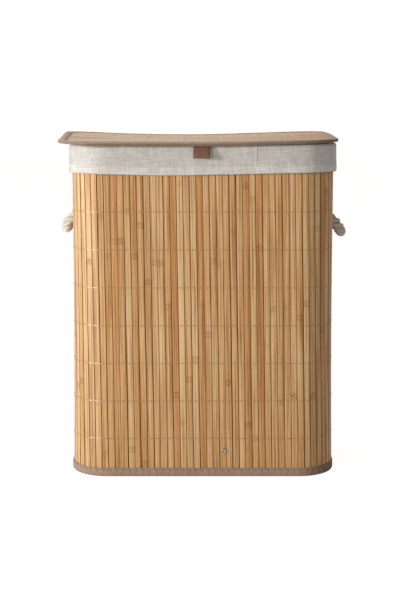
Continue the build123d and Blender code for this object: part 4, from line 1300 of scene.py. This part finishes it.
def corner_cut(tree, size, away):
    """How much the rounded corners take from each end of a slat that lies this far from the lid's middle."""
    side = add_node(tree, "ShaderNodeMath", {0: away}, operation="ABSOLUTE")
    side = add_node(tree, "ShaderNodeMath", {0: size["Slat Width"], 1: 0.5, 2: side},
                    operation="MULTIPLY_ADD")
    radius = size["Corner Radius"]
    straight = add_node(tree, "ShaderNodeMath", {0: size["Half Depth"], 1: radius}, operation="SUBTRACT")
    over = add_node(tree, "ShaderNodeMath", {0: side, 1: straight}, operation="SUBTRACT")
    over = add_node(tree, "ShaderNodeMath", {0: over, 1: 0.0}, operation="MAXIMUM")
    squares = [add_node(tree, "ShaderNodeMath", {0: length, 1: 2.0}, operation="POWER")
               for length in (radius, over)]
    rest = add_node(tree, "ShaderNodeMath", {0: squares[0], 1: squares[1]}, operation="SUBTRACT")
    rest = add_node(tree, "ShaderNodeMath", {0: rest}, operation="SQRT")
    return add_node(tree, "ShaderNodeMath", {0: radius, 1: rest}, operation="SUBTRACT")


def lid_slat_tree():
    """Slats that lie side by side from the lid's front to its rear."""
    tree, size = new_tree("lid_slats", floats=(
        "Half Width", "Half Depth", "Corner Radius", "Centre X", "Centre Y", "Height", "Slat Width",
        "Slat Thickness", "Slat Length", "Looseness"), ints=("Slat Count", "Seed"))
    line = add_node(tree, "GeometryNodeMeshLine", {"Count": size["Slat Count"]})
    index = add_node(tree, "GeometryNodeInputIndex")
    step = add_node(tree, "ShaderNodeMath", {0: index, 1: 0.5}, operation="ADD")
    share = add_node(tree, "ShaderNodeMath", {0: step, 1: size["Slat Count"]}, operation="DIVIDE")
    back = add_node(tree, "ShaderNodeMath", {0: size["Half Depth"], 1: -1.0}, operation="MULTIPLY")
    away = add_node(tree, "ShaderNodeMapRange", {0: share, 3: back, 4: size["Half Depth"]})
    cut = corner_cut(tree, size, away)
    reach = add_node(tree, "ShaderNodeMath", {0: size["Half Width"], 1: cut}, operation="SUBTRACT")
    length = add_node(tree, "ShaderNodeMath", {0: reach, 1: size["Half Width"]}, operation="DIVIDE")
    tight = add_node(tree, "ShaderNodeMath", {0: size["Looseness"], 1: -1.0}, operation="MULTIPLY")
    vary = random_values(tree, size["Seed"], (
        ("slat_tone", 0.0, 1.0), ("slat_seed", 0.0, 1.0), ("sideways", tight, size["Looseness"]),
        ("down", tight, 0.0), ("width", *WIDTH_RANGE)))
    y = add_node(tree, "ShaderNodeMath", {0: away, 1: size["Centre Y"]}, operation="ADD")
    y = add_node(tree, "ShaderNodeMath", {0: y, 1: vary["sideways"]}, operation="ADD")
    z = add_node(tree, "ShaderNodeMath", {0: size["Height"], 1: vary["down"]}, operation="ADD")
    place = add_node(tree, "ShaderNodeCombineXYZ", {"X": size["Centre X"], "Y": y, "Z": z})
    points = add_node(tree, "GeometryNodeSetPosition", {"Geometry": line, "Position": place})
    lying = add_node(tree, "FunctionNodeAxesToRotation",
                     {"Primary Axis": (1, 0, 0), "Secondary Axis": (0, -1, 0)},
                     primary_axis="Z", secondary_axis="X")
    scale = add_node(tree, "ShaderNodeCombineXYZ", {"X": vary["width"], "Y": 1.0, "Z": length})
    return set_slats(tree, size, points, vary, lying, scale)


lid_slats = grow("lid_slat_mat", lid_slat_tree(), {
    "Half Width": LID_HALF_X, "Half Depth": LID_HALF_Y, "Corner Radius": LID_RADIUS, "Centre X": LID_X,
    "Centre Y": LID_Y, "Height": LID_SLAT_HEIGHT, "Slat Count": LID_SLATS, "Slat Width": LID_SLAT_WIDTH,
    "Slat Thickness": SLAT_THICKNESS, "Slat Length": 2 * LID_HALF_X - 3 * MM, "Looseness": 0.2 * MM,
    "Seed": 41, "Material": lid_bamboo})
bow_lid(lid_slats)
finish_piece(lid_slats, "lid", "bamboo", "lid_slats")

# %% [markdown]
# ## Lid threads, backing and binding
# Six thread rows cross the lid from front to rear and dip between the slats. Cloth backs the slats, and a
# taupe strip is folded over the whole edge. The strip has painted shade on its front face and painted light
# on its top and on its left end.


# %% Lid threads
LID_THREAD_ROWS = 6


def lid_thread_tree():
    """Rows of thread across the lid."""
    tree, size = new_tree("lid_threads", floats=("Front", "Rear", "Height", "Dip", "Thread Radius", "Spacing",
                                                 "Centre X"), ints=("Slat Count", "Rows"))
    ends = [add_node(tree, "ShaderNodeCombineXYZ", {"Y": size[label], "Z": size["Height"]})
            for label in ("Front", "Rear")]
    line = add_node(tree, "GeometryNodeCurvePrimitiveLine", {"Start": ends[0], "End": ends[1]})
    count = add_node(tree, "ShaderNodeMath", {0: size["Slat Count"], 1: POINTS_PER_SLAT, 2: 1.0},
                     operation="MULTIPLY_ADD")
    fine = add_node(tree, "GeometryNodeResampleCurve", {"Curve": line, "Count": count})
    deep = add_node(tree, "ShaderNodeMath", {0: size["Dip"], 1: -1.0}, operation="MULTIPLY")
    sunk = add_node(tree, "ShaderNodeMath", {0: gap_depth(tree, on_slat=-1.0), 1: deep}, operation="MULTIPLY")
    down = add_node(tree, "ShaderNodeCombineXYZ", {"Z": sunk})
    dipping = add_node(tree, "GeometryNodeSetPosition", {"Geometry": fine, "Offset": down})
    uneven = add_node(tree, "ShaderNodeTexNoise", {"Scale": FUZZ_SCALE})
    half = add_node(tree, "ShaderNodeMath", {0: size["Rows"], 1: -0.5, 2: 0.5}, operation="MULTIPLY_ADD")
    first = add_node(tree, "ShaderNodeMath", {0: half, 1: size["Spacing"], 2: size["Centre X"]},
                     operation="MULTIPLY_ADD")
    start = add_node(tree, "ShaderNodeCombineXYZ", {"X": first})
    step = add_node(tree, "ShaderNodeCombineXYZ", {"X": size["Spacing"]})
    rows = thread_rows(tree, size, dipping, uneven, start, step, {"Fill Caps": True})
    return end_tree(tree, rows, size["Material"])


lid_threads = grow("lid_thread_rows", lid_thread_tree(), {
    "Front": LID_PLAN_LOW.y, "Rear": LID_PLAN_HIGH.y, "Height": LID_TOP - LID_CLOTH + 0.2 * MM,
    "Slat Count": LID_SLATS, "Dip": 1.4 * MM, "Thread Radius": 0.38 * MM, "Rows": LID_THREAD_ROWS,
    "Spacing": LID_THREAD_SPACING, "Centre X": 0.0, "Material": lid_thread})
bow_lid(lid_threads)
finish_piece(lid_threads, "lid", "cotton_thread", "lid_threads")

# %% Lid backing and binding
lid_backing = filled_panel("lid_backing_cloth", LID_PLAN, -0.5 * MM, LID_UNDERSIDE + LID_CLOTH,
                           LID_UNDERSIDE + 2 * LID_CLOTH, backing_cloth)
bow_lid(lid_backing)
finish_piece(lid_backing, "lid", "backing_cloth", "lid_backing")

EDGE_IN = -11 * MM
EDGE_OUT = LID_CLOTH


def lid_edge_ripple(distance, offset, height):
    """The folded strip swells a little between stitches and its inner edges wave."""
    inner = np.clip(offset / EDGE_IN, 0, 1)
    outer = np.clip(1 + offset / (3 * MM), 0, 1)
    upper = np.sign(height - (LID_UNDERSIDE + LID_TOP) / 2)
    wave = 0.5 * MM * inner ** 3 * soft_noise(distance * 42, upper, 12.0)
    swell = 0.3 * MM * outer * soft_noise(distance * 48, height * 90, 13.0)
    puff = upper * 0.25 * MM * (1 - inner) * (0.6 + soft_noise(distance * 70, upper, 14.0))
    return wave + swell, np.where(upper > 0, puff, puff * 0.3)


edge_section = [
    (EDGE_IN, LID_UNDERSIDE), (-8 * MM, LID_UNDERSIDE), (-4 * MM, LID_UNDERSIDE), (-0.6 * MM, LID_UNDERSIDE),
    (0.35 * MM, LID_UNDERSIDE + 0.3 * MM), (EDGE_OUT, LID_UNDERSIDE + 1 * MM),
    (EDGE_OUT + 0.2 * MM, LID_UNDERSIDE + 2.4 * MM), (EDGE_OUT, LID_TOP - 1 * MM),
    (0.3 * MM, LID_TOP - 0.3 * MM), (-0.8 * MM, LID_TOP), (-4 * MM, LID_TOP), (-8 * MM, LID_TOP),
    (EDGE_IN + 0.3 * MM, LID_TOP), (EDGE_IN, LID_TOP - 0.25 * MM), (EDGE_IN, LID_TOP - LID_CLOTH),
    (0.0, LID_TOP - LID_CLOTH), (0.0, LID_UNDERSIDE + LID_CLOTH), (EDGE_IN, LID_UNDERSIDE + LID_CLOTH),
    (EDGE_IN - 0.2 * MM, LID_UNDERSIDE + 0.4 * MM),
]
lid_binding = closed_band("lid_binding_cloth", LID_PLAN, edge_section, taupe_canvas, ripple=lid_edge_ripple)
edge_height = np.array(edge_section)[:, 1:] - LID_UNDERSIDE
edge_x = points_of(lid_binding)[:, 0].reshape(len(edge_section), -1)
# Painted shade on the strip's front face, painted light on its top face and more on its left end.
LEFT_END = (130 * MM, 190 * MM)
EDGE_PAINTED_SHADE, TOP_PAINTED_LIGHT, LEFT_PAINTED_LIGHT, LEFT_TOP_PAINTED_LIGHT = 0.36, 0.54, 0.1, 0.08
left_end = ease_in(LID_X - edge_x, *LEFT_END)
upper = ease_in(edge_height, 3.2 * MM, LID_TOP - LID_UNDERSIDE)
tone = -EDGE_PAINTED_SHADE + LEFT_PAINTED_LIGHT * left_end + (TOP_PAINTED_LIGHT + LEFT_TOP_PAINTED_LIGHT * left_end) * upper
shade_cloth(lid_binding, tone)
bow_lid(lid_binding)
finish_piece(lid_binding, "lid", "taupe_cloth", "lid_binding")
print("lid binding", round(LID_PLAN["knots"][-1], 4), "m round")

# %% [markdown]
# ## Hinge tape and pull tab
# The lid is hinged by a strip of canvas, sewn to the rear wall and to the lid's rear edge. It is one sheet
# with a fold where it passes from the wall to the lid. The tab is a short folded strip that hangs from the
# lid's front edge: two leaves joined by a fold at the bottom.

# %% Hinge tape
TAPE_LOW, TAPE_LOW_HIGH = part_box("hinge_tape_lower")
TAPE_TOP_LOW, TAPE_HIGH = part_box("hinge_tape_upper")
TAPE_CLOTH = 1.1 * MM
TAPE_WALL_END, TAPE_FOLD_START, TAPE_FOLD_END, TAPE_LID_START = 0.4965, 0.4973, 0.5018, 0.5026
TAPE_STEP_START, TAPE_STEP = 0.4985, 1.5 * MM
TAPE_WAVE = 0.25 * MM
tape_lower_y = (TAPE_LOW.y + TAPE_LOW_HIGH.y) / 2
tape_upper_y = (TAPE_TOP_LOW.y + TAPE_HIGH.y) / 2
tape_heights = np.concatenate([np.linspace(TAPE_LOW.z, TAPE_WALL_END, 9),
                               np.linspace(TAPE_FOLD_START, TAPE_FOLD_END, 7),
                               np.linspace(TAPE_LID_START, TAPE_HIGH.z - 0.2 * MM, 4)])
tape_x = np.linspace(TAPE_LOW.x, TAPE_HIGH.x, 94)
step_over = np.clip((tape_heights - TAPE_STEP_START) / TAPE_STEP, 0, 1)[:, None]
tape_column, tape_row = tape_x[None, ::-1], tape_heights[:, None]
tape_wave = TAPE_WAVE * soft_noise(tape_column * 45, tape_row * 60, 15.0)
tape_points = grid_of(tape_column, tape_lower_y + step_over * (tape_upper_y - tape_lower_y) + tape_wave,
                      tape_row + lid_rise(tape_column, tape_upper_y) * step_over)
hinge_tape = grid_piece("hinge_tape_cloth", tape_points, sheet_uv(tape_x, tape_heights), taupe_canvas)
thicken(hinge_tape, TAPE_CLOTH)
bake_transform(hinge_tape)
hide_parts("hinge_tape_lower", "hinge_tape_upper")
print("hinge tape", len(hinge_tape.data.polygons), "faces")

# %% Pull tab
TAB_LOW, TAB_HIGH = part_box("pull_tab")
TAB_CLOTH = 0.95 * MM
TAB_LEAF = 0.72 * MM
TAB_STAND_OFF = 7.0 * MM
TAB_CURL, TAB_WAVE = 0.5 * MM, 0.25 * MM
TAB_TOP_SHADE, TAB_LOWER_LIGHT = 0.16, 0.42
tab_y = (TAB_LOW.y + TAB_HIGH.y) / 2
tab_bottom = TAB_LOW.z + 1.2 * MM
tab_heights = np.linspace(TAB_HIGH.z - 0.2 * MM, tab_bottom + 2 * MM, 7)
front_leaf = [(-TAB_LEAF, height) for height in tab_heights]
fold_leaf = [(1.15 * TAB_LEAF * math.cos(turn), tab_bottom + 0.9 * TAB_LEAF * math.sin(turn))
             for turn in np.linspace(math.pi, 2 * math.pi, 7)]
back_leaf = [(TAB_LEAF, height) for height in tab_heights[::-1]]
tab_run = np.array(front_leaf + fold_leaf + back_leaf)
tab_x = np.linspace(TAB_LOW.x, TAB_HIGH.x, 13)
hang = np.clip((TAB_HIGH.z - tab_run[:, 1:]) / (TAB_HIGH.z - TAB_LOW.z), 0, 1)
curl = TAB_CURL * (2 * (tab_x - tab_x.mean()) / (tab_x[-1] - tab_x[0])) ** 2
tab_wave = TAB_WAVE * hang * soft_noise(tab_x[None, :] * 80, 0, 16.0)
tab_points = grid_of(tab_x, tab_y + tab_run[:, :1] + hang ** 1.5 * (curl - TAB_STAND_OFF),
                     tab_run[:, 1:] + tab_wave + (1 - hang) * lid_rise(tab_x[None, :], tab_y))
tab_length = running_length(tab_run)
pull_tab = grid_piece("pull_tab_cloth", tab_points[::-1], sheet_uv(tab_x, tab_length)[::-1], brown_canvas)
# Painted shade at the tab's top, under the lid, and painted light towards its lower fold.
shade_cloth(pull_tab, -TAB_TOP_SHADE + TAB_LOWER_LIGHT * hang[::-1])
thicken(pull_tab, TAB_CLOTH)
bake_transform(pull_tab)
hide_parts("pull_tab")
print("tab strip", round(tab_length[-1], 4), "m long")

# %% [markdown]
# ## Rope handles
# Each handle is one length of three-strand cotton rope. It comes out of an eyelet, droops under its own
# weight and goes back in at the other eyelet. The route is a NURBS spline with a few control points. The
# three strands wind round points that are read from that spline, once every lay length.


# %% Rope route
ROPE_HOLE_Y = 60 * MM
ROPE_START = -5 * MM
PIVOT_OUTSET = 8.6 * MM
HALF_ROUTE = [(60 * MM, 0.0), (44 * MM, 18 * MM), (17 * MM, 28.5 * MM)]


def rope_route(side, height, lean, droop):
    """Control points from inside the front eyelet, round the drooping loop, to inside the rear eyelet."""
    pivot = Vector((side * (WALL_X + PIVOT_OUTSET), 0, height))
    outwards = Vector((side * math.sin(lean), 0, -math.cos(lean)))
    inside = Vector((side * (WALL_X + ROPE_START), 0, height))
    front = [inside + Vector((0, -ROPE_HOLE_Y, 0))]
    front += [pivot + Vector((0, -along, 0)) + outwards * drop * droop for along, drop in HALF_ROUTE]
    rear = [Vector((point.x, -point.y, point.z)) for point in reversed(front)]
    return front + rear


def spline_points(name, controls):
    """Points of a smooth NURBS spline, read back from a curve with no bevel."""
    curve = bpy.data.curves.new(name, "CURVE")
    curve.dimensions = "3D"
    curve.resolution_u = 12
    spline = curve.splines.new("NURBS")
    spline.points.add(len(controls) - 1)
    for point, control in zip(spline.points, controls):
        point.co = (*control, 1.0)
    spline.order_u = 3
    spline.use_endpoint_u = True
    line = bpy.data.objects.new(name, curve)
    scene.collection.objects.link(line)
    mesh = plain_mesh(line)
    points = np.array([vertex.co for vertex in mesh.vertices])
    bpy.data.objects.remove(line)
    bpy.data.meshes.remove(mesh)
    bpy.data.curves.remove(curve)
    return points


print("half route", HALF_ROUTE)


# %% Tubes and strands
ROPE_LAY = 45 * MM
STRANDS = 3
STRAND_RADIUS = 3.4 * MM
STRAND_OFFSET = 4.3 * MM
ROPE_RINGS, TUBE_SIDES = 130, 14
FULL_TURN = 360
START_NORMAL = [0.31, 0.22, 0.92]


def tube_grid(path, radius, sides):
    """Rings of points round a path, and their UV in metres. The frame is carried along without twist."""
    tangents = np.gradient(path, axis=0)
    tangents /= np.linalg.norm(tangents, axis=1, keepdims=True)
    normal = np.cross(tangents[0], START_NORMAL)
    angles = np.arange(sides) * 2 * math.pi / sides
    rings = []
    for point, tangent, size in zip(path, tangents, np.broadcast_to(radius, len(path))):
        normal = normal - tangent * (normal @ tangent)
        normal /= np.linalg.norm(normal)
        other = np.cross(tangent, normal)
        rings.append(point + size * (np.cos(angles)[:, None] * normal + np.sin(angles)[:, None] * other))
    u = running_length(path)
    v = np.arange(sides + 1) * 2 * math.pi / sides * np.max(radius)
    return np.stack(rings), np.stack(np.broadcast_arrays(u[:, None], v[None, :]), axis=-1)


def join_pieces(name, parts):
    """Several pieces as one mesh object."""
    with bpy.context.temp_override(active_object=parts[0], selected_editable_objects=parts):
        bpy.ops.object.join()
    parts[0].name = name
    parts[0].data.name = name
    return parts[0]


def rope_piece(name, path, hand):
    """Three strands wound round a path, right-handed for hand -1 and left-handed for 1."""
    run = running_length(path)
    fine = np.linspace(0, run[-1], ROPE_RINGS)
    smooth = np.stack([np.interp(fine, run, path[:, axis]) for axis in range(3)], axis=1)
    rings, _ = tube_grid(smooth, STRAND_OFFSET, FULL_TURN)
    row = np.arange(ROPE_RINGS)
    strands = []
    for strand in range(STRANDS):
        turn = ((strand + 0.5) / STRANDS - hand * fine / ROPE_LAY) * FULL_TURN
        step = np.floor(turn).astype(int)
        part = (turn - step)[:, None]
        line = rings[row, step % FULL_TURN] * (1 - part) + rings[row, (step + 1) % FULL_TURN] * part
        points, uv = tube_grid(line, STRAND_RADIUS, TUBE_SIDES)
        strands.append(grid_piece(f"{name}_strand", points, uv, cotton_rope, wrap_columns=True))
        close_tube(strands[-1], ROPE_RINGS, TUBE_SIDES)
    return join_pieces(name, strands)


def close_tube(piece, rings, sides):
    """Round caps for both ends of a tube."""
    work = bmesh.new()
    work.from_mesh(piece.data)
    work.verts.ensure_lookup_table()
    for ring in (0, rings - 1):
        loop = [work.verts[ring * sides + index] for index in range(sides)]
        work.faces.new(loop[::-1] if ring == 0 else loop)
    bmesh.ops.recalc_face_normals(work, faces=work.faces)
    work.to_mesh(piece.data)
    work.free()


# %% Rope handles
# Each handle has its side, how far it leans outwards in degrees and how far it droops.
HANDLES = {"left": (-1, 21.5, 0.88), "right": (1, 29.5, 0.95)}
JOINTS = {joint["name"]: joint for joint in frame["joints"]}
for side_name, (side, lean, droop) in HANDLES.items():
    height = JOINTS[f"{side_name}_handle_swing"]["pos_m"][2]
    controls = rope_route(side, height, math.radians(lean), droop)
    path = spline_points(f"{side_name}_rope_route", controls)
    rope = rope_piece(f"{side_name}_rope", path, side)
    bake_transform(rope)
    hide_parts(f"{side_name}_rope_handle")

# %% [markdown]
# ## Knots, eyelets and rivet
# Inside the wall each rope end is tied in an overhand knot, which is a trefoil when it is closed. The eyelets
# and the rivet head are turned metal, so their outlines are spun about an axis. The rivet holds a short
# canvas tab, which runs down inside the front wall and turns onto the base board.


# %% Eyelets and knots
WELD, SLIVER = 0.02 * MM, 0.01 * MM


def turned_piece(name, outline, material, centre, axis, sides=28):
    """Closed outline of (reach along the axis, radius) points in millimetres, spun about an axis."""
    outline = np.array(outline) * MM
    axis = np.array(axis, float)
    first = np.cross(axis, [0, 0, 1])
    second = np.cross(axis, first)
    angles = np.arange(sides) * 2 * math.pi / sides
    spokes = np.cos(angles)[:, None] * first + np.sin(angles)[:, None] * second
    points = np.array(centre) + outline[:, None, :1] * axis + outline[:, None, 1:] * spokes[None]
    uv = np.zeros((len(outline) + 1, sides + 1, 2))
    piece = grid_piece(name, points, uv, material, wrap_rows=True, wrap_columns=True)
    work = bmesh.new()
    work.from_mesh(piece.data)
    bmesh.ops.remove_doubles(work, verts=work.verts, dist=WELD)
    bmesh.ops.dissolve_degenerate(work, edges=work.edges, dist=SLIVER)
    bmesh.ops.recalc_face_normals(work, faces=work.faces)
    work.to_mesh(piece.data)
    work.free()
    return piece


EYELET_OUTLINE = [(0.1, 8.7), (0.2, 12.0), (0.55, 12.5), (0.95, 12.2), (1.25, 11.0), (1.3, 9.6), (1.0, 8.4),
                  (0.2, 7.85), (-3.6, 7.8), (-4.3, 8.3), (-4.6, 9.6), (-4.4, 11.6), (-4.0, 12.4),
                  (-3.6, 12.2), (-3.5, 8.7)]
KNOT_INSET = 15.5 * MM
KNOT_SCALE = 2.75 * MM
KNOT_DEPTH = 2.2
KNOT_TUBE = 4.6 * MM
turn = np.linspace(0, 2 * math.pi, 90)
trefoil = np.stack([1.1 * np.sin(3 * turn), np.sin(turn) + 2 * np.sin(2 * turn),
                    np.cos(turn) - 2 * np.cos(2 * turn)], axis=1)
knot_line = trefoil * [KNOT_DEPTH * KNOT_SCALE, KNOT_SCALE, KNOT_SCALE]
for side_name, (side, _, _) in HANDLES.items():
    height = JOINTS[f"{side_name}_handle_swing"]["pos_m"][2]
    rings, knots = [], []
    for y in (-ROPE_HOLE_Y, ROPE_HOLE_Y):
        rings.append(turned_piece(f"{side_name}_eyelet", EYELET_OUTLINE, plated_steel,
                                  (side * WALL_X, y, height), (side, 0, 0)))
        middle = np.array([side * (WALL_X - KNOT_INSET), y, height])
        points, uv = tube_grid(middle + knot_line, KNOT_TUBE, TUBE_SIDES)
        knots.append(grid_piece(f"{side_name}_knot", points[:-1], uv, cotton_rope, wrap_rows=True,
                                wrap_columns=True))
    eyelets = join_pieces(f"{side_name}_eyelet_rings", rings)
    shape_wall(eyelets)
    finish_piece(eyelets, "basket", "steel", f"{side_name}_rope_eyelets")
    knot = join_pieces(f"{side_name}_rope_knots", knots)
    finish_piece(knot, "basket", "cotton_rope", f"{side_name}_rope_ends")
    print(eyelets.name, len(eyelets.data.polygons), "faces", knot.name, len(knot.data.polygons), "faces")

# %% Rivet and inner tab
RIVET_LOW, RIVET_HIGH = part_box("base_rivet")
rivet_centre = ((RIVET_LOW.x + RIVET_HIGH.x) / 2, -WALL_Y, (RIVET_LOW.z + RIVET_HIGH.z) / 2)
RIVET_OUTLINE = [(0.0, 0.0), (0.1, 1.0), (0.5, 1.6), (1.1, 2.0), (1.3, 2.4), (1.2, 2.9), (0.7, 3.3),
                 (0.2, 3.4), (0.0, 3.2), (-0.4, 1.7), (-7.0, 1.7), (-7.0, 2.4), (-7.5, 2.2), (-7.7, 1.2),
                 (-7.7, 0.0)]
rivet = turned_piece("base_rivet_head", RIVET_OUTLINE, plated_steel, rivet_centre, (0, -1, 0))
finish_piece(rivet, "basket", "steel", "base_rivet")

TIE_LOW, TIE_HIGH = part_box("base_tab")
TIE_CLOTH = 1.0 * MM
TIE_INSET = 0.6 * MM
tie_y, tie_floor = TIE_LOW.y + TIE_INSET, TIE_LOW.z + TIE_INSET
upright_run = [(tie_y, TIE_HIGH.z - share * (TIE_HIGH.z - TIE_LOW.z - 3 * MM))
               for share in np.linspace(0, 1, 9)]
bend_run = [(tie_y + 0.7 * MM, TIE_LOW.z + 1.3 * MM), (tie_y + 2.4 * MM, tie_floor)]
floor_run = [(tie_y + share * (TIE_HIGH.y - tie_y), tie_floor) for share in np.linspace(0.12, 1, 8)]
tie_run = np.array(upright_run + bend_run + floor_run)
tie_x = np.linspace(TIE_LOW.x, TIE_HIGH.x, 13)
tie_length = running_length(tie_run)
tie_points = grid_of(tie_x, tie_run[:, :1], tie_run[:, 1:])
base_tie = grid_piece("base_tab_cloth", tie_points, sheet_uv(tie_x, tie_length), taupe_canvas)
thicken(base_tie, TIE_CLOTH)
finish_piece(base_tie, "basket", "taupe_cloth", "base_tab")
print("metal", rivet.name, "inner tab", round(tie_length[-1], 4))

# %% [markdown]
# ## Stitches
# Running stitches hold the hem, the bindings and the tape. The tree turns a line of points into a curve,
# spaces points along it at the stitch pitch and sets a small stretched ball on each, turned along the line.


# %% Stitch tree
STITCH_RANGE = (0.85, 1.12)
STITCH_SEED = 5


def stitch_tree():
    """Stitches along lines that come in as the edges of a mesh."""
    tree, size = new_tree("running_stitches", floats=("Pitch", "Stitch Length", "Thread Radius"),
                          ints=("Seed",))
    line = add_node(tree, "GeometryNodeMeshToCurve", {"Mesh": size["Geometry"]})
    spaced = add_node(tree, "GeometryNodeResampleCurve", {"Curve": line, "Length": size["Pitch"]},
                      mode="LENGTH")
    tangent = add_node(tree, "GeometryNodeInputTangent")
    turned = add_node(tree, "FunctionNodeAlignRotationToVector", {"Vector": tangent}, axis="X")
    ball = add_node(tree, "GeometryNodeMeshUVSphere", {"Segments": 6, "Rings": 4, "Radius": 1.0})
    half = add_node(tree, "ShaderNodeMath", {0: size["Stitch Length"], 1: 0.5}, operation="MULTIPLY")
    vary = random_values(tree, size["Seed"], [("length", *STITCH_RANGE)])
    long = add_node(tree, "ShaderNodeMath", {0: half, 1: vary["length"]}, operation="MULTIPLY")
    shape = add_node(tree, "ShaderNodeCombineXYZ",
                     {"X": long, "Y": size["Thread Radius"], "Z": size["Thread Radius"]})
    stitches = add_node(tree, "GeometryNodeInstanceOnPoints",
                        {"Points": spaced, "Instance": ball, "Rotation": turned, "Scale": shape})
    return end_tree(tree, stitches, size["Material"])


running_stitches = stitch_tree()


def stitch_lines(name, lines, body, slot, material, pitch=4.2 * MM, length=3.1 * MM, radius=0.42 * MM):
    """Stitches along one or more lines of points."""
    points, edges = [], []
    for line in lines:
        start = len(points)
        points += line.tolist()
        edges += [(start + index, start + index + 1) for index in range(len(line) - 1)]
    mesh = bpy.data.meshes.new(name)
    mesh.from_pydata(points, edges, [])
    piece = grow(name, running_stitches, {"Pitch": pitch, "Stitch Length": length, "Thread Radius": radius,
                                          "Seed": STITCH_SEED, "Material": material}, mesh)
    return finish_piece(piece, body, slot)


# %% Stitches of the liner and of the wall
STITCH_LIFT = 0.1 * MM
TAPE_MARGIN = 3 * MM
hem_run = np.arange(CUFF_BREAK + 4 * MM, WALL_LENGTH - CUFF_BREAK - 4 * MM, 2 * MM)
hem_offset = cuff_offset(hem_run, CUFF_OUTER, np.full_like(hem_run, HEM_HEIGHT))
hem_height = HEM_HEIGHT + cuff_shift(hem_run, CUFF_OUTER, HEM_HEIGHT)
hem_line = carry(WALL_PLAN, hem_run, hem_offset + CUFF_CLOTH / 2 + STITCH_LIFT, hem_height)
stitch_lines("liner_stitches", [hem_line], "basket", "linen_cloth", pale_stitch, pitch=3.6 * MM,
             length=2.2 * MM, radius=0.6 * MM)

low_run = np.arange(0, WALL_LENGTH, 3 * MM)
low_height = BINDING_TOP - 2.4 * MM
swell, _ = pucker(low_run, np.full_like(low_run, BINDING_OUT), np.full_like(low_run, low_height))
low_line = carry(WALL_PLAN, low_run, BINDING_OUT + swell + STITCH_LIFT, low_height)
tape_line_x = np.linspace(TAPE_LOW.x + TAPE_MARGIN, TAPE_HIGH.x - TAPE_MARGIN, 60)
tape_lines = [grid_of(tape_line_x, TAPE_LOW_HIGH.y + STITCH_LIFT, height)
              for height in (TAPE_LOW.z + 2.5 * MM, TAPE_LOW_HIGH.z - 5 * MM)]
stitch_lines("wall_binding_stitches", [low_line] + tape_lines, "basket", "taupe_cloth", taupe_stitch)

# %% Stitches of the lid
LID_STITCH_INSET = -8.4 * MM
lid_run = np.arange(0, LID_PLAN["knots"][-1], 3 * MM)
lid_lines = [carry(LID_PLAN, lid_run, LID_STITCH_INSET, height)
             for height in (LID_TOP + STITCH_LIFT, LID_UNDERSIDE - STITCH_LIFT)]
lid_lines.append(grid_of(tape_line_x, TAPE_HIGH.y, TAPE_HIGH.z - 1.6 * MM))
for line in lid_lines:
    line[:, 2] += lid_rise(line[:, 0], line[:, 1])
stitch_lines("lid_binding_stitches", lid_lines, "lid", "taupe_cloth", taupe_stitch)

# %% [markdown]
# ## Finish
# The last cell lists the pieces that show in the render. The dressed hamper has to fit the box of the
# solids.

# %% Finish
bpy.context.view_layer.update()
shown = [piece.name for piece in scene.objects if piece.type == "MESH" and not piece.hide_render]
print("pieces", sorted(shown))
